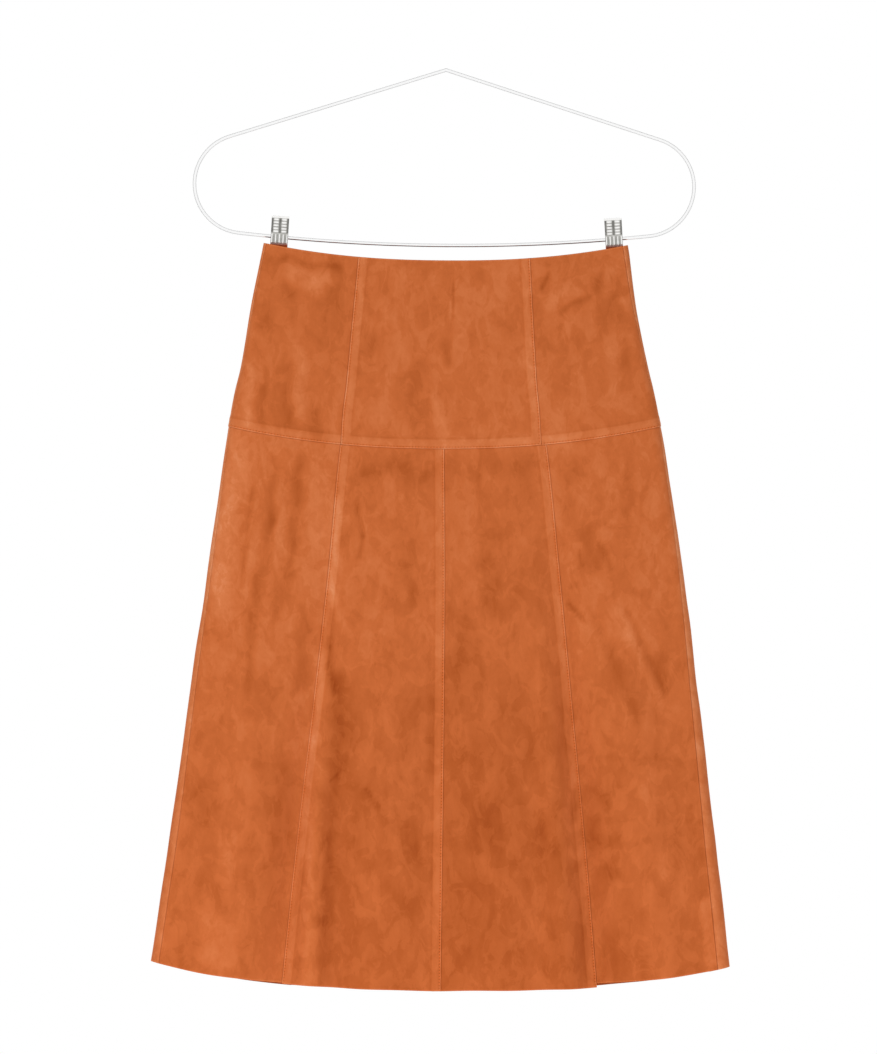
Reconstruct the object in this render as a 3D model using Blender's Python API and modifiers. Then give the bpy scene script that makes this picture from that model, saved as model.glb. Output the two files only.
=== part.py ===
"""A-line skirt of suede, hung by its back waist from a wire hanger with two spring clips.

The skirt is a flattened tube. A ring round it is found for any step down the cloth: step 0 is
the waist edge, step 1 the yoke seam and step 2 the hem. Every cut piece is a patch of that tube
between two seams, given a wall. The front faces -Y, +X is on the right as seen from the front,
+Z is up, and the origin is under the wire at the hanger's peak, where a peg holds it.
"""

import math

import bmesh
import bpy
import numpy as np
from mathutils import Matrix, Vector


def table(columns, *rows):
    """Columns of a table by name, each an array with one value for each row."""
    return dict(zip(columns.split(), np.array(rows).T))


# ---- Driving dimensions, in metres ----

WALL = 0.0012
GAP = 0.0003
SIDE_SEAM_GAP = 0.0006

# The ring's turns from front to back, how far its middle hangs below them, and how square
# that hanging curve is.
OUTLINE = table(
    "step left_x right_x left_z right_z drop curve",
    (0.00, -0.1640, 0.1635, -0.1540, -0.1560, 0.0150, 2.3),
    (0.33, -0.1744, 0.1705, -0.2075, -0.2085, 0.0165, 2.3),
    (0.66, -0.1842, 0.1812, -0.2630, -0.2635, 0.0185, 2.2),
    (1.00, -0.1957, 0.1930, -0.3195, -0.3195, 0.0200, 2.2),
    (1.25, -0.2129, 0.2125, -0.4400, -0.4410, 0.0205, 2.3),
    (1.50, -0.2308, 0.2273, -0.5600, -0.5620, 0.0210, 2.5),
    (1.75, -0.2470, 0.2413, -0.6800, -0.6830, 0.0215, 2.8),
    (2.00, -0.2656, 0.2550, -0.7996, -0.8046, 0.0225, 3.0),
)

# The turn's radius, where front and back lie beside it, and how far each swells in its middle.
DEPTH = table(
    "step turn_radius front_y front_belly back_y back_belly",
    (0.00, 0.0055, -0.0115, 0.0060, 0.0006, 0.0000),
    (0.33, 0.0065, -0.0135, 0.0060, 0.0010, 0.0005),
    (0.66, 0.0080, -0.0160, 0.0060, 0.0022, 0.0015),
    (1.00, 0.0090, -0.0180, 0.0060, 0.0035, 0.0020),
    (1.50, 0.0105, -0.0205, 0.0060, 0.0050, 0.0025),
    (2.00, 0.0120, -0.0230, 0.0060, 0.0060, 0.0030),
)

# Where the long seams lie, and how far in from the turn each side seam shows on the front.
YOKE_SEAMS = table(
    "step left centre right left_inset right_inset",
    (0.00, -0.0788, 0.0, 0.0756, 0.0020, 0.0045),
    (0.33, -0.0840, 0.0, 0.0783, 0.0015, 0.0030),
    (0.66, -0.0893, 0.0, 0.0815, 0.0012, 0.0015),
    (1.00, -0.0945, 0.0, 0.0855, 0.0010, 0.0010),
)
GORE_SEAMS = table(
    "step left centre right left_inset right_inset",
    (1.00, -0.0949, -0.0015, 0.0902, 0.0010, 0.0010),
    (1.25, -0.1068, -0.0010, 0.1028, 0.0030, 0.0040),
    (1.50, -0.1205, -0.0018, 0.1143, 0.0048, 0.0070),
    (1.75, -0.1350, -0.0032, 0.1257, 0.0062, 0.0095),
    (2.00, -0.1476, -0.0047, 0.1356, 0.0072, 0.0108),
)

# Each fold runs from its top to the hem. A ridge has a height above 0 and a trough below.
FOLD_COLUMNS = "top_x top_z hem_x top_width hem_width height"
FRONT_FOLDS = table(
    FOLD_COLUMNS,
    (-0.0949, -0.340, -0.1476, 0.012, 0.020, -0.0090),
    (-0.1060, -0.480, -0.1240, 0.009, 0.018, 0.0080),
    (-0.1030, -0.560, -0.1000, 0.008, 0.014, -0.0045),
    (-0.0450, -0.450, -0.0550, 0.020, 0.032, 0.0040),
    (0.0400, -0.450, 0.0500, 0.020, 0.030, 0.0030),
    (0.0850, -0.450, 0.1120, 0.012, 0.018, 0.0070),
    (0.0902, -0.340, 0.1356, 0.012, 0.018, -0.0090),
    (-0.1500, -0.360, -0.2000, 0.016, 0.030, 0.0050),
    (0.1400, -0.360, 0.1950, 0.016, 0.030, 0.0050),
)
BACK_FOLDS = table(
    FOLD_COLUMNS,
    (-0.0949, -0.340, -0.1476, 0.012, 0.020, -0.0070),
    (0.0902, -0.340, 0.1356, 0.012, 0.020, -0.0070),
    (-0.0450, -0.450, -0.0620, 0.020, 0.034, 0.0040),
    (0.0500, -0.450, 0.0650, 0.020, 0.034, 0.0045),
    (-0.1550, -0.400, -0.2050, 0.018, 0.030, 0.0045),
    (0.1500, -0.380, 0.1950, 0.018, 0.030, 0.0040),
)
FOLD_HEM_Z = -0.822
FOLD_GROWTH = 1.6
BACK_WAIST_DIP = 0.002
HEM_LIFT_START = 1.7

# Each cut piece: its sides, named for the seams, and how far its hem is lifted at each of them.
YOKE_PIECES = (
    ("front_yoke_left", "front", "left_side", "left"),
    ("front_yoke_centre", "front", "left", "right"),
    ("front_yoke_right", "front", "right", "right_side"),
    ("back_yoke_left", "back", "left", "left_side"),
    ("back_yoke_centre_left", "back", "centre", "left"),
    ("back_yoke_centre_right", "back", "right", "centre"),
    ("back_yoke_right", "back", "right_side", "right"),
)
GORE_PIECES = (
    ("front_gore_left", "front", "left_side", "left", 0.0, 0.0),
    ("front_gore_centre_left", "front", "left", "centre", -0.0020, -0.0010),
    ("front_gore_centre_right", "front", "centre", "right", -0.0010, 0.0000),
    ("front_gore_right", "front", "right", "right_side", 0.0045, 0.0),
    ("back_gore_left", "back", "left", "left_side", 0.0, 0.0),
    ("back_gore_centre_left", "back", "centre", "left", 0.0, 0.0),
    ("back_gore_centre_right", "back", "right", "centre", 0.0, 0.0),
    ("back_gore_right", "back", "right_side", "right", 0.0, 0.0),
)
YOKE_STEPS = (0.0, 0.05, 0.11, 0.19, 0.36, 0.57, 0.79, 1.0)
GORE_STEPS = np.linspace(1.0, 2.0, 11)
FLAT_COLUMNS = 10
TURN_COLUMNS = 6

# The zip in the centre back seam: closed, with its slider just under the waist edge.
ZIP_START_STEP = 0.02
ZIP_END_STEP = 1.06
ZIP_ROWS = 8
ZIP_MOUTH_STEPS = (0.0, 0.11, 0.19)
ZIP_MOUTH_HALF_WIDTHS = (0.0010, 0.0010, GAP / 2)
TAPE_WIDTH = 0.0110
TAPE_THICKNESS = 0.0006
TAPE_EDGE = 0.0009
CHAIN_WIDTH = 0.0036
CHAIN_THICKNESS = 0.0014
SLIDER_SIZE = (0.0064, 0.0030, 0.0088)
SLIDER_DROP = 0.0100
NECK_SIZE = (0.0012, 0.0034)
EYE_OUTER_RADIUS = 0.0022
EYE_HOLE_RADIUS = 0.00135
EYE_LIFT = 0.0027
PULL_LENGTH = 0.0170
PULL_WIDTHS = (0.0044, 0.0060)
PULL_THICKNESS = 0.0009
PULL_WINDOW_HALF = 0.0010
PULL_WINDOW_END = 0.0028

# The hanger: one loop of wire. Arms fall from the peak to round ends, joined by a bowed bar.
WIRE_RADIUS = 0.0018
END_RADIUS = 0.0445
LEFT_ARM = {"slope": 0.3066, "reach": -0.2264}
RIGHT_ARM = {"slope": 0.3270, "reach": 0.2232}
BAR_LOWEST_Z = -0.1562
BAR_END_TILT = math.radians(6.5)
ARM_POINTS = 5
END_POINTS = 15
BAR_POINTS = 16

# The spring clips, each in its own frame: the bar runs along X through its origin.
LEFT_CLIP_X = -0.1499
RIGHT_CLIP_X = 0.1510
CLIP_SHEET = 0.0009
# A clip leans this share of the bar's slope where it stands.
CLIP_LEAN = 0.7
CLIP_PROFILE = table(
    "out up",
    (0.0086, 0.0205),
    (0.0060, 0.0060),
    (0.0056, -0.0055),
    (0.00145, -0.0120),
    (0.00145, -0.0205),
    (0.0030, -0.0225),
)
FRONT_PLATE = {"side": -1, "half_width": 0.0078, "ear_radius": 0.0052, "ear_shift": 0.0006}
BACK_PLATE = {"side": 1, "half_width": 0.0066, "ear_radius": 0.0049, "ear_shift": 0.0006}
SPRING_RADIUS = 0.0037
SPRING_WIRE_RADIUS = 0.00065
SPRING_TURNS = 4
SPRING_PITCH = 0.0022
SPRING_POINTS_A_TURN = 10
SPRING_LEG = 0.0110


# ---- The tube of cloth ----


def along(rows, column, step):
    """A column as a smooth curve through its rows: a cubic between each two of them."""
    knots = rows["step"]
    values = rows[column]
    slopes = np.gradient(values, knots)
    place = np.clip(np.searchsorted(knots, step, side="right") - 1, 0, len(knots) - 2)
    span = knots[place + 1] - knots[place]
    t = (np.asarray(step) - knots[place]) / span
    return (
        (2 * t**3 - 3 * t**2 + 1) * values[place]
        + (t**3 - 2 * t**2 + t) * span * slopes[place]
        + (3 * t**2 - 2 * t**3) * values[place + 1]
        + (t**3 - t**2) * span * slopes[place + 1]
    )


def smooth(t):
    t = np.clip(t, 0.0, 1.0)
    return t * t * (3 - 2 * t)


def turn_run(step):
    """The length along the cloth of a quarter turn."""
    return along(DEPTH, "turn_radius", step) * math.pi / 2


def half_run(step):
    """The length along the front, or the back, from one turn's outermost point to the other's."""
    width = along(OUTLINE, "right_x", step) - along(OUTLINE, "left_x", step)
    return width + 2 * (turn_run(step) - along(DEPTH, "turn_radius", step))


def run_at(x, step, side):
    """The place on the ring of a point x on the front or back, away from the turns.

    Places count from the left turn's outermost point, up along the front, down along the back.
    """
    from_turn = x - along(OUTLINE, "left_x", step) - along(DEPTH, "turn_radius", step)
    run = turn_run(step) + from_turn
    return run if side == "front" else -run


def fold_height(folds, x, z):
    """Ridges and troughs summed: each is a bell across its line, growing from its top down."""
    total = np.zeros_like(x)
    for top_x, top_z, hem_x, top_width, hem_width, height in zip(*folds.values()):
        t = np.clip((top_z - z) / (top_z - FOLD_HEM_Z), 0.0, 1.0)
        middle = top_x + (hem_x - top_x) * t
        width = top_width + (hem_width - top_width) * t
        total += height * smooth(t * FOLD_GROWTH) * np.exp(-(((x - middle) / width) ** 2))
    return total


def ring_point(step, run):
    """The outer face's x, y and z at a step down the cloth and a place on its ring."""
    radius = along(DEPTH, "turn_radius", step)
    left_x = along(OUTLINE, "left_x", step)
    right_x = along(OUTLINE, "right_x", step)
    half = half_run(step)
    turn = turn_run(step)
    run = (run + half) % (2 * half) - half
    from_left = np.abs(run)
    from_right = half - from_left
    nearest = np.minimum(from_left, from_right)
    angle = np.minimum(nearest, turn) / radius
    inward = radius * (1 - np.cos(angle)) + np.maximum(nearest - turn, 0.0)
    x = np.where(from_left < from_right, left_x + inward, right_x - inward)

    across = 2 * (x - left_x) / (right_x - left_x) - 1
    hang = 1 - np.abs(across) ** along(OUTLINE, "curve", step)
    left_z = along(OUTLINE, "left_z", step)
    right_z = along(OUTLINE, "right_z", step)
    z = left_z + (right_z - left_z) * (across + 1) / 2 - along(OUTLINE, "drop", step) * hang
    z = np.where(run < 0, z - BACK_WAIST_DIP * hang * smooth(1 - step), z)

    front_y = along(DEPTH, "front_y", step)
    back_y = along(DEPTH, "back_y", step)
    middle_y = (front_y + back_y) / 2
    half_depth = (back_y - front_y) / 2
    swell = 1 - across**4
    front = half_depth + along(DEPTH, "front_belly", step) * swell + fold_height(FRONT_FOLDS, x, z)
    back = half_depth + along(DEPTH, "back_belly", step) * swell + fold_height(BACK_FOLDS, x, z)
    y = middle_y + np.where(run < 0, back, -front) * np.sin(angle)
    return np.stack([x, y, z], axis=-1)


def seam_run(seams, name, side, step):
    """The place on the ring of a named seam."""
    if name == "left_side" or name == "right_side":
        radius = along(DEPTH, "turn_radius", step)
        inset = along(seams, name.replace("side", "inset"), step)
        from_turn = radius * np.arccos(1 - inset / radius)
        return from_turn if name == "left_side" else half_run(step) - from_turn
    if name == "centre" and side == "back":
        return run_at(0.0, step, side)
    return run_at(along(seams, name, step), step, side)


def half_gap(name, side, step):
    """Half of what parts two pieces at a seam."""
    if name.endswith("side"):
        return SIDE_SEAM_GAP / 2
    if name == "centre" and side == "back":
        return np.interp(step, ZIP_MOUTH_STEPS, ZIP_MOUTH_HALF_WIDTHS)
    return GAP / 2


def columns_between(first, last, step):
    """Places from one seam to the next, closer together where the cloth turns."""
    half = half_run(step)
    turn = turn_run(step)
    bends = [bend for bend in (-turn, turn, half - turn, half + turn) if first < bend < last]
    knots = [first, *bends, last]
    places = [first]
    for start, end in zip(knots[:-1], knots[1:]):
        middle = (start + end) / 2
        turning = min(abs(middle), abs(middle - half)) < turn
        count = TURN_COLUMNS if turning else FLAT_COLUMNS
        places.extend(np.linspace(start, end, count + 1)[1:])
    return np.array(places)


def piece_points(seams, steps, side, first_name, last_name, edges, lifts=(0.0, 0.0)):
    """A cut piece's outer face: one row of points for each step, from one seam to the next."""
    rows = []
    for step in steps:
        first = seam_run(seams, first_name, side, step) + half_gap(first_name, side, step)
        last = seam_run(seams, last_name, side, step) - half_gap(last_name, side, step)
        if last < first:
            last += 2 * half_run(step)
        places = columns_between(first, last, step)
        row = ring_point(step, places)
        share = (places - first) / (last - first)
        lift = lifts[0] + (lifts[1] - lifts[0]) * share
        row[:, 2] += lift * smooth((step - HEM_LIFT_START) / (2 - HEM_LIFT_START))
        rows.append(row)
    rows[0][:, 2] += edges[0]
    rows[-1][:, 2] += edges[1]
    return np.array(rows)


# ---- Making objects ----


def material(name, colour, roughness, metallic=0.0):
    made = bpy.data.materials.new(name)
    made.use_nodes = True
    shader = made.node_tree.nodes["Principled BSDF"]
    shader.inputs["Base Color"].default_value = (*colour, 1.0)
    shader.inputs["Roughness"].default_value = roughness
    shader.inputs["Metallic"].default_value = metallic
    made.diffuse_color = (*colour, 1.0)
    return made


def add_object(name, data, collection, finish):
    made = bpy.data.objects.new(name, data)
    collection.objects.link(made)
    if finish:
        data.materials.append(finish)
    return made


def sheet(name, points, wall, collection, finish):
    """A piece of cloth: a grid laid on the rows of points, with its wall behind it."""
    rows, columns = points.shape[:2]
    cloth = bmesh.new()
    bmesh.ops.create_grid(cloth, x_segments=columns - 1, y_segments=rows - 1, size=0.5)
    for vertex in cloth.verts:
        column = round((vertex.co.x + 0.5) * (columns - 1))
        row = round((0.5 - vertex.co.y) * (rows - 1))
        vertex.co = Vector(points[row, column])
    mesh = bpy.data.meshes.new(name)
    cloth.to_mesh(mesh)
    cloth.free()
    made = add_object(name, mesh, collection, finish)
    mesh.shade_smooth()
    thickness = made.modifiers.new("wall", "SOLIDIFY")
    thickness.thickness = wall
    thickness.offset = -1.0
    return made


def tube(name, points, radius, closed, collection, finish):
    """A round wire through the points."""
    curve = bpy.data.curves.new(name, "CURVE")
    curve.dimensions = "3D"
    curve.bevel_depth = radius
    curve.bevel_resolution = 2
    curve.use_fill_caps = True
    spline = curve.splines.new("POLY")
    spline.points.add(len(points) - 1)
    for point, place in zip(spline.points, points):
        point.co = (*place, 1.0)
    spline.use_cyclic_u = closed
    return add_object(name, curve, collection, finish)


def block(name, size, place, collection, finish=None):
    """A box of a size, with its middle at a place."""
    box = bmesh.new()
    bmesh.ops.create_cube(box, size=1.0, matrix=Matrix.Diagonal((*size, 1.0)))
    mesh = bpy.data.meshes.new(name)
    box.to_mesh(mesh)
    box.free()
    made = add_object(name, mesh, collection, finish)
    made.location = place
    return made


def disc(name, radius, thickness, place, collection, sides=20):
    """A cylinder along X, with its middle at a place."""
    round_bar = bmesh.new()
    bmesh.ops.create_cone(
        round_bar, cap_ends=True, segments=sides, radius1=radius, radius2=radius, depth=thickness,
        matrix=Matrix.Rotation(math.pi / 2, 4, "Y"),
    )
    mesh = bpy.data.meshes.new(name)
    round_bar.to_mesh(mesh)
    round_bar.free()
    made = add_object(name, mesh, collection, None)
    made.location = place
    return made


def combine(target, other, operation, holder=None):
    """Joins another solid to an object, or cuts it away, and hides that solid."""
    other.hide_render = True
    other.display_type = "WIRE"
    other.parent = holder
    boolean = target.modifiers.new(f"{operation.lower()} {other.name}", "BOOLEAN")
    boolean.operation = operation
    boolean.object = other


def make_yoke(collection, finish):
    for name, side, first, last in YOKE_PIECES:
        points = piece_points(YOKE_SEAMS, YOKE_STEPS, side, first, last, (0.0, GAP / 2))
        sheet(name, points, WALL, collection, finish)


def make_gores(collection, finish):
    for name, side, first, last, *lifts in GORE_PIECES:
        points = piece_points(GORE_SEAMS, GORE_STEPS, side, first, last, (-GAP / 2, 0.0), lifts)
        sheet(name, points, WALL, collection, finish)


# ---- The zip ----


def inside_back(x_places, steps, depth):
    """Rows of points on the back's inner side, a depth in from the outer face."""
    rows = []
    for step in steps:
        row = ring_point(step, run_at(np.array(x_places), step, "back"))
        row[:, 1] -= depth
        rows.append(row)
    return np.array(rows)


def centre_back(step):
    """The outer face's point on the centre back line."""
    return ring_point(step, run_at(0.0, step, "back"))


def step_at(height):
    """The step where the centre back line passes a height."""
    steps = np.linspace(0.0, 2.0, 81)
    return float(np.interp(-height, -centre_back(steps)[:, 2], steps))


def make_zip(collection, cutters, tape_finish, metal_finish):
    steps = np.linspace(ZIP_START_STEP, ZIP_END_STEP, ZIP_ROWS)
    tape_depth = WALL + GAP
    for name, near, far in (
        ("zip_tape_left", -TAPE_EDGE, -TAPE_WIDTH),
        ("zip_tape_right", TAPE_WIDTH, TAPE_EDGE),
    ):
        points = inside_back((near, far), steps, tape_depth)
        sheet(name, points, TAPE_THICKNESS, collection, tape_finish)

    _, depth, length = SLIDER_SIZE
    height = centre_back(0.0)[2] - SLIDER_DROP
    cloth_y = centre_back(step_at(height))[1]
    chain_depth = tape_depth + TAPE_THICKNESS + GAP
    chain_steps = np.linspace(step_at(height - length / 2 - GAP), ZIP_END_STEP, ZIP_ROWS)
    chain = inside_back((CHAIN_WIDTH / 2, -CHAIN_WIDTH / 2), chain_steps, chain_depth)
    sheet("zip_chain", chain, CHAIN_THICKNESS, collection, metal_finish)

    body_y = cloth_y - chain_depth - depth / 2
    eye_y = cloth_y + EYE_LIFT
    slider = block("zip_slider", SLIDER_SIZE, (0.0, body_y, height), collection, metal_finish)
    neck_width, neck_length = NECK_SIZE
    neck_depth = eye_y - EYE_HOLE_RADIUS - GAP - body_y
    neck = block(
        "slider_neck", (neck_width, neck_depth, neck_length),
        (0.0, body_y + neck_depth / 2, height), cutters,
    )
    eye = disc("slider_eye", EYE_OUTER_RADIUS, neck_width, (0.0, eye_y, height), cutters)
    hole = disc("slider_hole", EYE_HOLE_RADIUS, 3 * neck_width, (0.0, eye_y, height), cutters)
    combine(slider, neck, "UNION")
    combine(slider, eye, "UNION")
    combine(slider, hole, "DIFFERENCE")

    hinge = bpy.data.objects.new("zip_pull_hinge", None)
    collection.objects.link(hinge)
    hinge.location = (0.0, eye_y, height)
    make_pull(hinge, collection, metal_finish)


def make_pull(hinge, collection, finish):
    """The pull: a tapered tab, with a window whose top edge is the bar held in the slider's eye."""
    top_half, low_half = (width / 2 for width in PULL_WIDTHS)
    bar = PULL_THICKNESS / 2
    outline = bpy.data.curves.new("zip_pull", "CURVE")
    outline.dimensions = "2D"
    outline.fill_mode = "BOTH"
    outline.extrude = PULL_THICKNESS / 2
    tip_angles = np.linspace(0.0, -math.pi, 9)
    tip_z = -PULL_LENGTH + low_half
    tip = [(low_half * math.cos(a), tip_z + low_half * math.sin(a)) for a in tip_angles]
    tab = [(-top_half, bar), (top_half, bar), *tip]
    window = [
        (-PULL_WINDOW_HALF, -bar),
        (PULL_WINDOW_HALF, -bar),
        (PULL_WINDOW_HALF, -PULL_WINDOW_END),
        (-PULL_WINDOW_HALF, -PULL_WINDOW_END),
    ]
    for loop in (tab, window):
        spline = outline.splines.new("POLY")
        spline.points.add(len(loop) - 1)
        for point, (x, up) in zip(spline.points, loop):
            point.co = (x, up, 0.0, 1.0)
        spline.use_cyclic_u = True
    made = add_object("zip_pull", outline, collection, finish)
    made.parent = hinge
    made.rotation_euler = (math.pi / 2, 0.0, 0.0)


# ---- The hanger ----


def end_centre(arm):
    """The middle of the round end that touches the arm and reaches as far as the hanger does."""
    side = math.copysign(1.0, arm["reach"])
    x = arm["reach"] - side * END_RADIUS
    tilt = math.atan(arm["slope"])
    z = WIRE_RADIUS - arm["slope"] * abs(x) - END_RADIUS / math.cos(tilt)
    return side, x, z, tilt


def bar_height():
    """The bar's bow: a parabola through both ends of the bar and its lowest point."""
    places = [(0.0, BAR_LOWEST_Z)]
    for arm in (LEFT_ARM, RIGHT_ARM):
        side, x, z, _ = end_centre(arm)
        foot_x = x + side * END_RADIUS * math.sin(BAR_END_TILT)
        places.append((foot_x, z - END_RADIUS * math.cos(BAR_END_TILT)))
    places = np.array(places)
    return np.poly1d(np.polyfit(places[:, 0], places[:, 1], 2)), places[1, 0], places[2, 0]


def half_of_loop(arm):
    """An arm and its round end, from the peak to the bar."""
    side, centre_x, centre_z, tilt = end_centre(arm)
    angles = np.linspace(math.pi / 2 - tilt, BAR_END_TILT - math.pi / 2, END_POINTS)
    round_x = centre_x + side * END_RADIUS * np.cos(angles)
    round_z = centre_z + END_RADIUS * np.sin(angles)
    share = np.linspace(0.0, 1.0, ARM_POINTS, endpoint=False)
    arm_x = share * round_x[0]
    arm_z = WIRE_RADIUS + share * (round_z[0] - WIRE_RADIUS)
    return list(zip(np.append(arm_x, round_x), np.append(arm_z, round_z)))


def make_hanger(collection, finish):
    height, left_x, right_x = bar_height()
    bar_x = np.linspace(left_x, right_x, BAR_POINTS)[1:-1]
    loop = half_of_loop(LEFT_ARM)
    loop += list(zip(bar_x, height(bar_x)))
    loop += half_of_loop(RIGHT_ARM)[:0:-1]
    tube("hanger_wire", [(x, 0.0, z) for x, z in loop], WIRE_RADIUS, True, collection, finish)


# ---- The clips ----


def clip_plate(name, plate, holder, collection, cutters, finish):
    """One bent plate of a clip: thumb lever above, jaw below, and two ears that take the bar."""
    side, half_width = plate["side"], plate["half_width"]
    out, up = CLIP_PROFILE["out"], CLIP_PROFILE["up"]
    edges = (side * half_width, -side * half_width)
    points = np.array([[(x, side * (y + CLIP_SHEET / 2), z) for x in edges] for y, z in zip(out, up)])
    made = sheet(name, points, CLIP_SHEET, collection, finish)
    made.parent = holder
    for ear_side, ear_name in ((-1, "left"), (1, "right")):
        place = (ear_side * (half_width - CLIP_SHEET / 2), side * plate["ear_shift"], 0.0)
        ear = disc(f"{name}_{ear_name}_ear", plate["ear_radius"], CLIP_SHEET, place, cutters)
        combine(made, ear, "UNION", holder)
    hole = disc(f"{name}_hole", WIRE_RADIUS + GAP, 3 * half_width, (0.0, 0.0, 0.0), cutters)
    combine(made, hole, "DIFFERENCE", holder)


def clip_spring(name, holder, collection, finish):
    """The coil round the bar, with a leg up behind each lever."""
    steps = SPRING_TURNS * SPRING_POINTS_A_TURN + SPRING_POINTS_A_TURN // 2
    angles = np.linspace(0.0, 2 * math.pi * steps / SPRING_POINTS_A_TURN, steps + 1)
    x = SPRING_PITCH * (angles / (2 * math.pi) - (SPRING_TURNS + 0.5) / 2)
    coil = np.stack([x, -SPRING_RADIUS * np.cos(angles), -SPRING_RADIUS * np.sin(angles)], axis=1)
    first_leg = coil[0] + (0.0, 0.0, SPRING_LEG)
    last_leg = coil[-1] + (0.0, 0.0, SPRING_LEG)
    points = np.vstack([first_leg, coil, last_leg])
    made = tube(name, points, SPRING_WIRE_RADIUS, False, collection, finish)
    made.parent = holder


def make_clip(name, x, collection, cutters, sheet_finish, spring_finish):
    height, _, _ = bar_height()
    holder = bpy.data.objects.new(name, None)
    collection.objects.link(holder)
    holder.location = (x, 0.0, height(x))
    holder.rotation_euler = (0.0, -CLIP_LEAN * math.atan(height.deriv()(x)), 0.0)
    clip_plate(f"{name}_front_plate", FRONT_PLATE, holder, collection, cutters, sheet_finish)
    clip_plate(f"{name}_back_plate", BACK_PLATE, holder, collection, cutters, sheet_finish)
    clip_spring(f"{name}_spring", holder, collection, spring_finish)


def main():
    for old in list(bpy.data.objects):
        bpy.data.objects.remove(old, do_unlink=True)
    skirt = bpy.data.collections.new("a_line_skirt_on_hanger")
    cutters = bpy.data.collections.new("cutters")
    bpy.context.scene.collection.children.link(skirt)
    bpy.context.scene.collection.children.link(cutters)
    cutters.hide_render = True

    suede = material("suede", (0.52, 0.13, 0.04), 0.9)
    tape = material("woven zip tape", (0.34, 0.09, 0.03), 0.85)
    lacquer = material("lacquered zinc", (0.40, 0.11, 0.04), 0.4)
    wire = material("chromed wire", (0.80, 0.80, 0.80), 0.15, 1.0)
    steel = material("nickelled steel", (0.62, 0.61, 0.59), 0.3, 1.0)

    make_yoke(skirt, suede)
    make_gores(skirt, suede)
    make_zip(skirt, cutters, tape, lacquer)
    make_hanger(skirt, wire)
    make_clip("left_clip", LEFT_CLIP_X, skirt, cutters, steel, steel)
    make_clip("right_clip", RIGHT_CLIP_X, skirt, cutters, steel, steel)


main()
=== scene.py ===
"""Looks of an a-line suede skirt that hangs by its back waist from a wire hanger with two clips.

Lengths are in metres. The front faces -Y, +X is on the right as the front is looked at, +Z is up,
and the origin is under the wire at the hanger's peak.
"""

import math

import bpy
import numpy as np
from mathutils import Matrix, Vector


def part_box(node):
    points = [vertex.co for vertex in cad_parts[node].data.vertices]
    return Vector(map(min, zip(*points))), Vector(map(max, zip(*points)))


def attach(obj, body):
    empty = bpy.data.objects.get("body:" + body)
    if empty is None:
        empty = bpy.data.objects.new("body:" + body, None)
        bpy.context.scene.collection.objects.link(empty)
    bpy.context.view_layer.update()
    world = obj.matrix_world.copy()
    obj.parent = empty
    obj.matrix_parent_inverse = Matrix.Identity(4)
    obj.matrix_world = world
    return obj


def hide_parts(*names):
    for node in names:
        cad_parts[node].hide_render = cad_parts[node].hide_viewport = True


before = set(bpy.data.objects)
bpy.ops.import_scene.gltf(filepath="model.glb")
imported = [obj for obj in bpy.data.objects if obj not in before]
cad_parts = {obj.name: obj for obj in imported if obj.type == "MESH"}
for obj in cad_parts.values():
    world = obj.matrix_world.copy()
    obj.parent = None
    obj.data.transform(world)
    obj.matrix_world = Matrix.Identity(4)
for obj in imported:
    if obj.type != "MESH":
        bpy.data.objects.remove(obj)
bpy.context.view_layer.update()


# ---- The skirt's form ----
# The skirt is a flattened tube of cloth. Step 0 is its waist edge, step 1 the yoke seam and step 2
# the hem. A run is a place on the ring at a step, from the left turn's outermost point: positive
# along the front, negative along the back.

SUEDE_WALL = 0.0008


def table(columns, *rows):
    """Columns of a table by name, each an array with one value for each row."""
    return dict(zip(columns.split(), np.array(rows, float).T))


OUTLINE = table(
    "step left_x right_x left_z right_z drop curve",
    (0.00, -0.1640, 0.1635, -0.1540, -0.1560, 0.0150, 2.3),
    (0.33, -0.1744, 0.1705, -0.2075, -0.2085, 0.0165, 2.3),
    (0.66, -0.1842, 0.1812, -0.2630, -0.2635, 0.0185, 2.2),
    (1.00, -0.1957, 0.1930, -0.3195, -0.3195, 0.0200, 2.2),
    (1.25, -0.2129, 0.2125, -0.4400, -0.4410, 0.0205, 2.3),
    (1.50, -0.2308, 0.2273, -0.5600, -0.5620, 0.0210, 2.5),
    (1.75, -0.2470, 0.2413, -0.6800, -0.6830, 0.0215, 2.8),
    (2.00, -0.2656, 0.2550, -0.7996, -0.8046, 0.0225, 3.0),
)
DEPTH = table(
    "step turn_radius front_y front_belly back_y back_belly",
    (0.00, 0.0055, -0.0115, 0.0060, 0.0006, 0.0000),
    (0.33, 0.0065, -0.0135, 0.0060, 0.0010, 0.0005),
    (0.66, 0.0080, -0.0160, 0.0060, 0.0022, 0.0015),
    (1.00, 0.0090, -0.0180, 0.0060, 0.0035, 0.0020),
    (1.50, 0.0105, -0.0205, 0.0060, 0.0050, 0.0025),
    (2.00, 0.0120, -0.0230, 0.0060, 0.0060, 0.0030),
)
FOLD_COLUMNS = "top_x top_z hem_x top_width hem_width height"
FRONT_FOLDS = table(
    FOLD_COLUMNS,
    (-0.0949, -0.340, -0.1476, 0.012, 0.020, -0.0090),
    (-0.1060, -0.480, -0.1240, 0.009, 0.018, 0.0080),
    (-0.1030, -0.560, -0.1000, 0.008, 0.014, -0.0045),
    (-0.0450, -0.450, -0.0550, 0.020, 0.032, 0.0040),
    (0.0400, -0.450, 0.0500, 0.020, 0.030, 0.0030),
    (0.0850, -0.450, 0.1120, 0.012, 0.018, 0.0070),
    (0.0902, -0.340, 0.1356, 0.012, 0.018, -0.0090),
    (-0.1500, -0.360, -0.2000, 0.016, 0.030, 0.0050),
    (0.1400, -0.360, 0.1950, 0.016, 0.030, 0.0050),
)
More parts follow.
